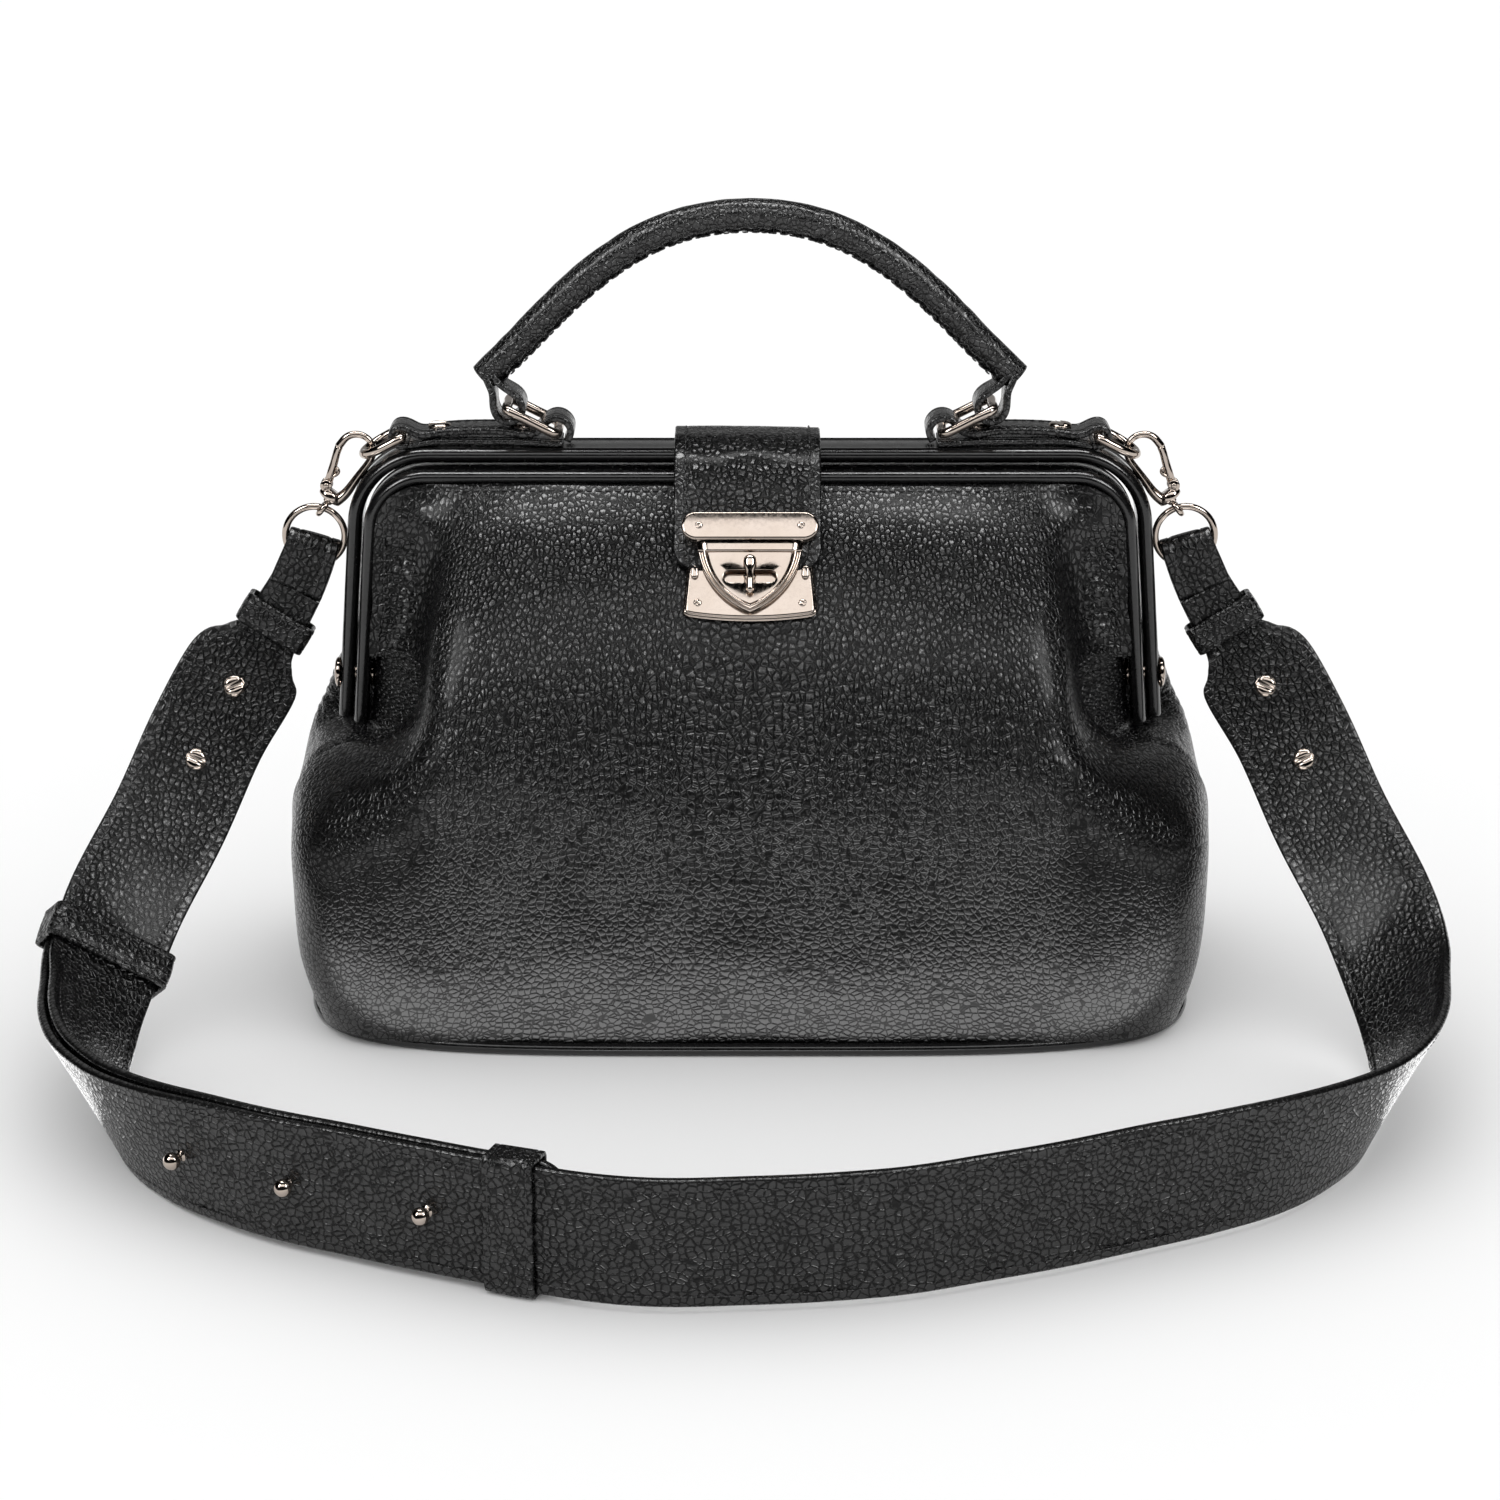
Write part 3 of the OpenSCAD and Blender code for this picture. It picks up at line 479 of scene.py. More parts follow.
def twill(name, color):
    """Lining cloth with a diagonal weave."""
    n = Nodes(name)
    c = n.put("ShaderNodeTexCoord").outputs["Object"]
    w = n.put("ShaderNodeTexWave", {"Vector": c, "Scale": 320.0, "Distortion": 1.0,
                                    "Detail": 1.0}, bands_direction="DIAGONAL").outputs["Fac"]
    return n.finish(Base_Color=n.mix(w, tint(color, 0.6), tint(color)), Roughness=0.85,
                    Normal=n.bump(w, 0.15 * MM, 1.0))


BODY = leather("body leather", depth=0.5, rough=0.22, coat=0.15, spec=0.6, groove=0.17)
STRAP = leather("strap leather", depth=0.48, rough=0.24, coat=0.15, spec=0.6, groove=0.17)
ROLL = leather("handle leather", depth=0.26, rough=0.22, coat=0.3, crease=0.12, spec=0.7)
EDGE = smooth_leather("edge leather", rough=0.16, depth=0.03)
THREAD = plain("waxed thread", (0.014, 0.0135, 0.014), 0.3, 2600.0, 0.03, 0.6)
NICKEL = metal("nickel")
STEEL = metal("bare steel", (0.5, 0.51, 0.53), 0.28, 0.01)
LINING = twill("lining", (0.16, 0.12, 0.1))
BOARD = plain("fibreboard", (0.4, 0.33, 0.24), 0.85, 300.0, 0.2, 0.2)


def spread(x, at, size):
    """Integral of 1/size from 0 to x, with size given at some places."""
    xs = np.linspace(-320, 320, 2561)
    dens = 1 / np.interp(xs, at, size)
    total = np.concatenate([[0], np.cumsum((dens[1:] + dens[:-1]) / 2 * (xs[1] - xs[0]))])
    return np.interp(x, xs, total - np.interp(0, xs, total))


# ---- the leather body ------------------------------------------------------
def level(z, *points):
    """A net's row at height z. A point with a third value has its own height."""
    return [(*p, z)[:3] for p in points]


# Front leather, right half: columns from the middle out to the seam, then behind the ridge to
# the hoop's leg. One row a height, from the base up to the hoop.
FRONT = [
    level(3, (0, -71.8), (50, -71.8), (92, -71), (122.6, -66.2), (137.8, -51), (141.6, -27)),
    level(20, (0, -74.6), (50, -74.6), (92, -73.8), (125.5, -69), (142.6, -53), (146.6, -27)),
    level(42, (0, -75.4), (50, -75.3), (92, -74.6), (126.5, -69.6), (144.4, -53.5), (148.6, -27)),
    level(60, (0, -74.8), (50, -75), (92, -74.8), (126, -69.4), (144.4, -53), (149, -26, 61)),
    level(73, (0, -73.4), (50, -74.2), (91, -74.6), (121.5, -68.6, 72.5), (140.5, -51, 72),
          (147.4, -25, 74)),
    level(83, (0, -71.4), (50, -72.8), (89.5, -73.8), (114, -68, 82.5), (131.5, -49, 82),
          (140.5, -25, 83.5)),
    level(91.5, (0, -69), (49, -71), (87, -72.6), (107.5, -67.6, 91), (119.5, -50, 90),
          (129.5, -27, 89.5)),
    level(98, (0, -66.8), (48, -69.2), (84.5, -71), (102.8, -66), (109.8, -51.5, 96),
          (117, -34, 93.5)),
    level(106, (0, -63.6), (47, -66.4), (82, -68.4), (99.6, -63.4), (104, -51.5, 105),
          (107.5, -37, 103)),
    level(115, (0, -59.8), (46, -62.9), (80, -64.8), (98.6, -60), (102, -47.5), (104.6, -31.5),
          (111.8, -19), (123.2, -15)),
    level(127, (0, -53.8), (45, -57), (78, -58.6), (97.4, -53.6), (101, -41.5), (103.8, -26),
          (111, -16.8), (122.3, -15.2)),
    level(138, (0, -47), (44, -49.8), (76, -50.8), (95.4, -46.2), (99.8, -35), (103.4, -22.4),
          (110.6, -15.8), (121.4, -15.4)),
    level(150, (0, -38.6), (43, -40.4), (73, -40.6), (92.4, -36.6), (98.2, -28.2), (103.4, -19.8),
          (110.4, -15.6), (120.5, -15.6)),
    level(160.5, (0, -29.6), (42, -30.4), (70, -30.2), (88, -27.4), (96.4, -23.6),
          (104, -19.6, 160), (111.4, -17, 159), (119.9, -15.7, 158)),
    level(167, (0, -22.2), (41, -22.4), (68, -22.2), (86, -20.8), (95, -19.2, 166.8),
          (104, -17.4, 166), (111.2, -16.3, 165), (118, -15.8, 164)),
    level(172.4, (0, -15.6), (40, -15.6), (67, -15.6), (85, -15.6), (95, -15.6, 172.2),
          (103, -15.6, 172.2), (109.4, -15.7, 171), (115, -15.8, 168)),
]
# Back leather, right half
BACK = [
    level(3, (0, 71.8), (50, 71.8), (92, 71), (122.6, 66.2), (137.8, 51), (141.6, 30)),
    level(20, (0, 74.4), (50, 74.4), (92, 73.6), (125.5, 69), (142.6, 53), (146.6, 30)),
    level(42, (0, 75), (50, 75), (92, 74.4), (126.5, 69.6), (144.4, 53.5), (148.6, 30)),
    level(62, (0, 74), (50, 74.4), (91, 74.4), (125, 69.2), (143.6, 52.5), (148.6, 30)),
    level(76, (0, 71.8), (50, 72.6), (90, 73.2), (119, 67.6), (138, 52), (145.4, 33, 78)),
    level(88, (0, 68.6), (49, 70), (87, 71), (110, 65.6), (126, 52, 87), (136, 36, 89)),
    level(99, (0, 64.6), (48, 66.4), (84, 67.6), (102.4, 62.6), (111, 51, 98), (119, 40)),
    level(111, (0, 59.2), (46, 61.4), (80, 62.4), (98.4, 56.8), (104, 45), (108.4, 33.5),
          (114.5, 19), (126.4, 9.4)),
    level(125, (0, 51), (45, 53.2), (78, 54), (96.6, 48.4), (102.4, 38), (107.6, 27.6),
          (114, 16.6), (125.4, 9)),
    level(138, (0, 42), (44, 43.6), (76, 44), (94.6, 39.4), (101.6, 30.6), (107.8, 22), (114, 14),
          (124.6, 8.6)),
    level(152, (0, 30.8), (43, 31.6), (73, 31.4), (92, 28), (100.4, 21.6), (107.6, 16),
          (113.6, 11.2), (123.6, 8)),
    level(164, (0, 20), (42, 20.2), (70, 20), (89, 18), (98.6, 14.4), (106.4, 11.2, 163.6),
          (112, 9, 163), (119.8, 7.6, 162.4)),
    level(172, (0, 12.2), (41, 12.2), (68, 12), (87, 11.2), (96.6, 10, 171.8), (104, 8.8, 171),
          (109, 8, 170), (114, 7.6, 169)),
    level(177, (0, 7.8), (40, 7.8), (67, 7.8), (85, 7.8), (94, 7.8, 176.9), (101, 7.8, 176.8),
          (105, 7.8, 176), (108.6, 7.8, 175)),
]
# End leather, right side: columns from the front, hidden behind the ridge, round to the back
END = [
    level(3, (138.2, -42), (140.2, -29), (141.2, -20), (142, -4), (141.8, 8), (141.4, 18),
          (140.6, 28), (139.2, 38), (136, 50)),
    level(20, (143.2, -42), (145.2, -29), (146.2, -20), (147, -4), (146.8, 8), (146.4, 18),
          (145.6, 28), (144, 38), (141, 50)),
    level(42, (145, -42), (147, -29), (148.2, -20), (149, -4), (148.8, 8), (148.4, 18),
          (147.6, 28), (146, 38), (143, 50)),
    level(60, (145, -42), (147.2, -29), (148.6, -20), (149.2, -4), (149.2, 8), (148.8, 18),
          (147.8, 28), (146, 38), (143, 50)),
    level(73, (140.6, -40), (145, -29), (147, -20), (147.6, -4), (148, 8), (148.2, 18),
          (147.4, 28), (145, 38), (140, 49)),
    level(82, (131, -40, 81), (138.2, -29, 81.5), (141.6, -20), (142.6, -4), (144.2, 8),
          (145.8, 17), (145.6, 28), (142, 38), (135, 48)),
    level(87, (121, -40, 86), (129, -30, 86.5), (133, -20), (134.4, -4), (137, 8), (142.6, 17),
          (143.6, 27), (139, 38), (129, 47)),
    level(90, (111, -42, 89), (117.5, -32, 89.5), (122.8, -21), (124.4, -4), (127, 8),
          (138.5, 17, 90.5), (141.8, 27, 91), (136.6, 37, 91), (122, 44, 91)),
    level(96, (103.5, -46, 92.5), (109.8, -36, 93), (121, -18, 93.5), (122.4, -4, 94),
          (122.4, 8, 94), (134.6, 16.5, 95), (140, 26, 95.5), (134.6, 36), (115, 42)),
    level(100, (101, -46, 98), (107, -34, 98.5), (120.6, -15.6, 99), (121.6, -4), (121.4, 8),
          (132.6, 16, 100.5), (137.8, 25, 101), (132, 35, 102), (110, 40, 102)),
    level(106, (100.4, -44), (106.5, -31), (120, -15), (120.6, -4, 106.5), (120.6, 8, 107),
          (131, 15, 106.5), (135, 23, 107), (129, 33, 108), (106, 38, 108)),
    level(112, (100, -43), (106, -29), (119.4, -14.8), (119.6, -4), (120, 8), (129.6, 13.5),
          (131.6, 20), (125, 30, 113), (104, 36, 113)),
    level(118, (99.6, -42), (105.6, -28), (118.8, -14.6), (118.8, -4, 117), (119.4, 7.6, 116),
          (127.8, 10.5, 116), (127.6, 16, 116.4), (121, 26, 117.5), (103, 33)),
]


def completed(net):
    """Gives the lower rows two virtual columns, so that the net is rectangular."""
    rows = []
    for row in net:
        row = [vec(*p) for p in row]
        if len(row) < 8:
            s = np.sign(row[-1][1])
            row.append(row[-1] + vec(2.5, -s * 12, -1))
            row.append(row[-2] + vec(3.5, -s * 24, -2))
        rows.append(row)
    half = np.array(rows)
    return np.concatenate([mirror(half[:, :0:-1]), half], 1)


def body_grain(p):
    """Cell coordinates and bump strength over the body: tall pebbles high up in the middle,
    low wide ones near the base, fine grain towards the ends."""
    tall = spread(p[:, 2], [-320, 40, 75, 105, 140, 320], [1.9, 1.9, 2.2, 3.3, 3.0, 2.6])
    wide = spread(p[:, 0], [-320, -128, -100, -60, 60, 100, 128, 320],
                  [2.0, 2.0, 2.1, 2.6, 2.6, 2.1, 2.0, 2.0])
    deep = spread(p[:, 1], [-320, -60, 60, 320], [2.6, 2.3, 2.3, 2.6])
    tilt = 0.22 * np.sign(p[:, 0]) * np.clip((np.abs(p[:, 0]) - 20) / 80, 0, 1)
    grain = np.stack([wide + tilt * tall, deep, tall], 1)
    high = np.interp(p[:, 2], [0, 25, 60, 90, 118, 158, 172], [0.42, 0.5, 0.6, 0.85, 1, 0.95, 0.35])
    side = np.interp(np.abs(p[:, 0]), [0, 92, 104, 150], [1, 1, 0.6, 0.55])
    return {"grain": grain, "grip": high * side}


def dented(p, n, amount):
    """Moves points along their normals by large soft unevenness, in mm."""
    q = p.reshape(-1, 3)
    soft = hash_noise(q / vec(34, 34, 26), 3) + 0.5 * hash_noise(q / vec(15, 15, 12), 4) - 0.75
    return p + n * (soft * amount).reshape(p.shape[:2] + (1,))


STITCH = {b: Pile() for b in ("bag", "front_frame", "flap", "handle", "strap")}
SEAM_COLUMN = 5     # the nets' column that ends at the side seam, counted from the middle
LAP_ROW = 9         # the front net's row where the upper hide's sides begin


def panel(name, net, sign, full_row, wrinkles):
    """Front or back leather with its cut lower side edge and its folds behind the ridges."""
    p, ri, ci = surface(completed(net), 2.6 / FINE)
    p = relax(p, 3)
    n = normals(p) * sign
    mid = len(ci) // 2
    keep = np.ones((p.shape[0] - 1, p.shape[1] - 1), bool)
    cut = ri[full_row]
    keep[:cut, :ci[mid - SEAM_COLUMN]] = False
    keep[:cut, ci[mid + SEAM_COLUMN]:] = False
    # unevenness, then gathers that run level beside the hoops' legs
    p = dented(p, n, 0.9)
    x, z = np.abs(p[..., 0]), p[..., 2]
    wave = np.sin(z * 2.1 + 2.2 * hash_noise((p / vec(9, 9, 14)).reshape(-1, 3), 7).reshape(x.shape) * 3)
    gather = np.interp(x, wrinkles, [0, 1, 1, 0.2]) * np.interp(z, [112, 122, 152, 162], [0, 1, 1, 0])
    p = p + n * (gather * wave * 0.42)[..., None]
    flat = p.reshape(-1, 3)
    obj = new(name, flat, grid_faces(p.shape[0], p.shape[1], keep=keep), BODY,
              extra=body_grain(flat))
    if sign < 0:
        obj.data.flip_normals()
    loose = settle(obj, *thick(2.2, 0.7, 3))
    return loose, p, n, ri, ci


front, FP, FN, fri, fci = panel("front_leather", FRONT, 1, LAP_ROW, [103, 108, 117, 121])
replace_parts(front, "front_panel_lower", "front_panel_upper")
back = panel("back_leather", BACK, -1, 7, [104, 110, 120, 126])[0]
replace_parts(back, "back_panel")


def end_leather(side, s):
    """End and gusset: one wrinkled sheet that tucks under the front and back leathers."""
    net = np.array(END, float)
    if s < 0:
        net = mirror(net)
    p = relax(surface(net, 2.4 / FINE)[0], 2)
    n = normals(p) * s
    under = np.interp(p[..., 1], [-32, -24, -14, 30, 38], [2.4, 1.8, 0, 0, 1.8])
    p = p - n * under[..., None]
    q = p.reshape(-1, 3)
    z = p[..., 2]
    n1 = hash_noise(q / vec(16, 11, 7), 11).reshape(z.shape)
    n2 = hash_noise(q / vec(6, 6, 3.2), 12).reshape(z.shape)
    crease = (np.abs(np.sin(z * 0.95 + 5 * n1)) - 0.6) * 1.1 + (n2 - 0.5) * 0.5
    level = np.interp(z, [76, 84, 96, 118], [0, 0.7, 1, 0.8])
    p = p + n * (crease * level * 0.55)[..., None]
    flat = p.reshape(-1, 3)
    grain = {"grain": np.stack([flat[:, 0] / 2.4, flat[:, 1] / 2.6, flat[:, 2] / 1.15], 1),
             "grip": np.full(len(flat), 0.75)}
    obj = new("end_leather_" + side, flat, grid_faces(*p.shape[:2]), BODY,
              extra=grain)
    if s < 0:
        obj.data.flip_normals()
    settle(obj, *thick(1.8, 0.5))
    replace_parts(obj, "end_panel_" + side, "gusset_" + side)
    return obj


ends = [end_leather("l", -1), end_leather("r", 1)]


def body_stitches():
    """Rows under the front hoop's edge, down its legs, and level where the hide is lapped."""
    pile = STITCH["front_frame"]
    top, cut = fri[-1], fri[LAP_ROW]
    rows, across = slice(cut + 1, top - 1), (top - FINE, slice(3, -3))
    left, left_n = FP[rows, 1 + FINE], FN[rows, 1]
    path = np.concatenate([left, FP[across], mirror(left)[::-1]])
    normal = np.concatenate([left_n, FN[across], mirror(left_n)[::-1]])
    stitch_line(pile, path, normal, 3.0, 0.4)
    low = cut + 1, slice(2, fci[2])
    stitch_line(pile, mirror(FP[low]), mirror(FN[low]), 3.0, 0.4)
    stitch_line(pile, FP[low], FN[low], 3.0, 0.4)


body_stitches()
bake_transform(front)
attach(back, "bag")
for obj in ends:
    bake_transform(obj)


def superellipse(a, b, power, n):
    """Outline of a rounded rectangle, 2 a by 2 b."""
    t = np.linspace(0, 2 * math.pi, n, endpoint=False)
    c, s = np.cos(t), np.sin(t)
    e = 2 / power
    return np.stack([a * np.sign(c) * np.abs(c) ** e, b * np.sign(s) * np.abs(s) ** e], 1)


def base():
    """Piping round the foot, and the base leather inside it."""
    pipe_r, power = 1.95, 4.2
    edge = superellipse(142.4, 73.2, power, 400)
    ring = resample(np.concatenate([edge, edge[:1]]), 2.4)[:-1]
    path = np.column_stack([ring, np.full(len(ring), pipe_r)])
    along = np.gradient(ring, axis=0)
    out = unit(np.column_stack([along[:, 1], -along[:, 0], np.zeros(len(ring))]))
    r = pipe_r * (1 + 0.03 * hash_noise(path / vec(5, 5, 5), 21))
    prof = circle(1, 12)[None] * r[:, None, None]
    v, f = sweep(path, out, Z, prof, closed=True)
    pipe = new("base_piping_roll", v, f, EDGE, "bag")
    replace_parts(pipe, "base_piping")
    inner = superellipse(139.6, 70.4, power, 180)
    below = ((0.25, 0.2), (0.6, 0.12), (0.93, 0.0), (0.985, 0.02), (1.0, 0.35))
    above = [(k, 3.0) for k in (1.0, 0.93, 0.6, 0.25)]
    allr = np.array([np.column_stack([inner * k, np.full(len(inner), z)])
                     for k, z in (*below, *above)])
    v = allr.reshape(-1, 3)
    m = len(inner)
    f = grid_faces(len(allr), m, wrap=True).tolist() + [q[::-1] for q in caps(len(allr), m)]
    under = new("base_leather", v, f, BODY, "bag",
                extra={"grain": v / 2.4, "grip": np.full(len(v), 0.6)})
    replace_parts(under, "base_panel")


base()

# ---- the hoops -------------------------------------------------------------
LEAN = math.radians(4.4)        # the hoops' legs lean inwards as they rise
CORNER = vec(103.5, 156)        # X and Z of the hoops' corner centre
HINGE = (-3.5, 106)             # Y and Z of the front hoop's hinge line


def hoop_path(inset, foot):
    """Centre line of an arch, right foot to left foot, in XZ, and its outward normals."""
    r = 26 - inset
    touch = CORNER + r * vec(math.cos(LEAN), math.sin(LEAN))
    down = vec(math.sin(LEAN), -math.cos(LEAN))
    length = (touch[1] - foot) / math.cos(LEAN)
    leg = [touch + down * length * k / 24 for k in range(24, 0, -1)]
    leg_n = [vec(math.cos(LEAN), math.sin(LEAN))] * 24
    angles = np.linspace(LEAN, math.pi / 2, 24)
    arc = [CORNER + r * vec(math.cos(a), math.sin(a)) for a in angles]
    arc_n = [vec(math.cos(a), math.sin(a)) for a in angles]
    top = [vec(x, CORNER[1] + r) for x in np.linspace(CORNER[0], 0, 34)[1:]]
    half = np.array(leg + arc + top)
    nrm = np.array(leg_n + arc_n + [vec(0, 1)] * len(top))
    full = np.concatenate([half, (half * vec(-1, 1))[-2::-1]])
    return full, np.concatenate([nrm, (nrm * vec(-1, 1))[-2::-1]])


def hoop(name, inset, y, body, node):
    """A flat leather-covered arch with rolled edges."""
    t = 4.6
    c, n = hoop_path(inset + t / 2, 92.9)
    path = np.column_stack([c[:, 0], np.full(len(c), y), c[:, 1]])
    out = np.column_stack([n[:, 0], np.zeros(len(n)), n[:, 1]])
    # rolled front and back edges, with a shallow valley between them
    half = np.array([(-t / 2, 0), (-t / 2, 5.8), (-t / 2 + 0.15, 7.1), (-t / 2 + 0.65, 8.2),
                     (-0.9, 8.95), (0, 9.26), (0.9, 8.95), (t / 2 - 0.65, 8.2),
                     (t / 2 - 0.12, 7.2), (t / 2 - 0.02, 6.6), (t / 2 - 0.35, 6.0),
                     (t / 2 - 0.4, 4.5), (t / 2 - 0.15, 2.4), (t / 2 - 0.08, 0)])
    prof = np.concatenate([half, (half * vec(1, -1))[-2:0:-1]])
    around = np.tile(np.column_stack([prof, prof[:, 0]]), (len(path), 1))
    rough = hash_noise(np.repeat(path, len(prof), 0) / 3.2 + around, 31)
    prof = prof[None] * (1 + 0.004 * (rough.reshape(len(path), len(prof), 1) - 0.5))
    v, f = sweep(path, out, Y, prof, round_ends=0.9)
    obj = new(name, v, f, EDGE, body)
    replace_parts(obj, node)


hoop("back_hoop_leather", 0, 0, "bag", "back_hoop_cover")
hoop("front_hoop_leather", 5.6, -7, "front_frame", "front_hoop_cover")


# ---- the flap --------------------------------------------------------------
def strip_profile(w, t, n_mid, groove, crown, deep=0.28):
    """Cross-section of a leather strip: stitched grooves near both edges, rounded edges."""
    hw, ht = w / 2, t / 2
    r = ht * 0.55
    top = []
    for k in range(n_mid + 1):
        x = -hw + r + (w - 2 * r) * k / n_mid
        top.append((x, ht + crown * (1 - (x / hw) ** 2)))
    extra = [(s * (hw - groove + d), ht - (deep if d == 0 else 0))
             for s in (-1, 1) for d in (-0.7, 0, 0.7)]
    top = sorted(top[1:-1] + extra)
    top = [(-hw + r, ht)] + top + [(hw - r, ht)]
    side = [(hw - r + r * math.sin(a), ht - r + r * math.cos(a)) for a in (0.5, 1.1)]
    right = side + [(hw, 0)] + [(x, -y) for x, y in side[::-1]]
    bottom = [(x, -y) for x, y in top[::-1]]
    left = [(-x, y) for x, y in right[::-1]]
    return np.array(top + right + bottom + left)


# The flap's middle surface from the back to the hasp: Y and Z
FLAP_PATH = [(37.2, 152.8), (30.6, 158), (24.6, 165.4), (16.9, 172.9), (12.1, 178.4), (10.4, 182.2),
             (6.6, 184.4), (0, 185.0), (-6, 184.9), (-10.6, 184), (-16.6, 181.2), (-22.8, 175.2),
             (-29.6, 166.6), (-37.2, 155.7), (-40.8, 151)]


def flap():
    """One strip from the back over both hoops to the hasp, with rounded lower corners."""
    wide, mid_x = 46.6, -0.8
    yz = resample(curve(np.array(FLAP_PATH), 8), 1.5 / FINE)
    yz = yz[6 * FINE // 2:]
    n = len(yz)
    path = np.column_stack([np.full(n, mid_x), yz[:, 0], yz[:, 1]])
    out = np.cross(unit(np.gradient(path, axis=0)), X)
    out *= np.sign(out[n // 2, 2])
    s = lengths(path)
    total = s[-1]
    prof = []
    for k in range(n):
        w = wide
        for d, r in ((total - s[k], 7.0), (s[k], 4.0)):
            if d < r:
                w = min(w, wide - 2 * (r - math.sqrt(max(r * r - (r - d) ** 2, 0))) * 0.96)
        prof.append(strip_profile(wide, 2.6, 18, 3.6, 0.25) * vec(w / wide, 1))
    v, f = sweep(path, X, out, np.array(prof))
    soft = hash_noise(v / vec(12, 8, 8), 41) - 0.5
    v = v + np.repeat(out, len(prof[0]), 0) * (soft * 0.7)[:, None]
    grain = np.stack([v[:, 0] / 2.2, np.repeat(s, len(prof[0])) / 2.4, v[:, 2] * 0.02], 1)
    grip = np.interp(np.abs(v[:, 0] - mid_x), [0, 18, 20.5, 23.3], [1, 1, 0.45, 0.2])
    obj = new("flap_leather", v, f, BODY, extra={"grain": grain, "grip": grip})
    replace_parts(obj, "flap", "flap_tail")
    for side in (-1, 1):
        pos = path + X * side * 19.7 + out * 1.35
        lo = int(6 / (total / n))
        a, b = int(0.30 * n), n - lo
        stitch_line(STITCH["flap"], pos[a + 5:b], out[a + 5:b], 3.0, 0.34, lift=0.1)
        stitch_line(STITCH["bag"], pos[lo:a - 2], out[lo:a - 2], 3.0, 0.34, lift=0.1)
    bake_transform(obj)


flap()

# ---- the turn lock ---------------------------------------------------------
TILT = math.atan(18 / 25)       # the front's slope behind the lock
LOCK_AT = vec(0, -39, 150.5)
KNOB_Y = -3.8                   # the knob's axis, up the front from LOCK_AT
LOCK = np.array([[1, 0, 0], [0, math.sin(TILT), math.cos(TILT)], [0, -math.cos(TILT), math.sin(TILT)]])


def on_lock(p):
    """Local X across, Y up the front, Z out of it."""
    return np.asarray(p, float) @ LOCK + LOCK_AT


def plate_rings(outline, levels):
    """Rings of an outline at (inset, z) levels. The outline runs anticlockwise."""
    o = np.asarray(outline, float)
    t = unit(np.roll(o, -1, 0) - np.roll(o, 1, 0))
    inward = np.column_stack([-t[:, 1], t[:, 0]])
    return np.array([np.column_stack([o + inward * i, np.full(len(o), z)]) for i, z in levels])


def plate(outline, levels):
    """A plate whose rim follows levels, low to high."""
    rings = plate_rings(outline, levels)
    m = len(outline)
    return rings.reshape(-1, 3), grid_faces(len(rings), m, wrap=True).tolist() + caps(len(rings), m)


def pill(half, r, m):
    """A rounded bar's outline, 2 half long, with end radius r."""
    pts = []
    for k in range(m):
        a = 2 * math.pi * (k + 0.5) / m - math.pi / 2
        c = half - r if math.cos(a) >= 0 else -(half - r)
        pts.append((c + r * math.cos(a), r * math.sin(a)))
    return np.array(pts)


def even(outline, m):
    """The same closed outline with m points at even steps."""
    o = np.concatenate([outline, outline[:1]])
    s = lengths(o)
    x = np.linspace(0, s[-1], m, endpoint=False)
    return np.stack([np.interp(x, s, o[:, k]) for k in (0, 1)], 1)


def shield_outline(grow):
    """Pointed shield below the bar: two arcs that meet at the tip, and a level top."""
    r, cx, cy, top = 26 + grow, -9.5, 8.9, 8.2
    low = math.atan2(-math.sqrt(r * r - cx * cx), -cx)
    high = math.asin((top - cy) / r)
    right = [(cx + r * math.cos(a), cy + r * math.sin(a)) for a in np.linspace(low, high, 40)]
    left = [(-x, y) for x, y in right[::-1]]
    return np.array(right + left[:-1])


def from_angle(outline, centre, angles):
    """Points where rays from centre leave the outline, as distances."""
    d = np.asarray(outline) - centre
    a = np.arctan2(d[:, 1], d[:, 0])
    order = np.argsort(a)
    a, rr = a[order], np.linalg.norm(d, axis=1)[order]
    a = np.concatenate([a - 2 * math.pi, a, a + 2 * math.pi])
    rr = np.tile(rr, 3)
    dist = np.interp(angles, a, rr)
    return centre + np.stack([np.cos(angles), np.sin(angles)], 1) * dist[:, None]


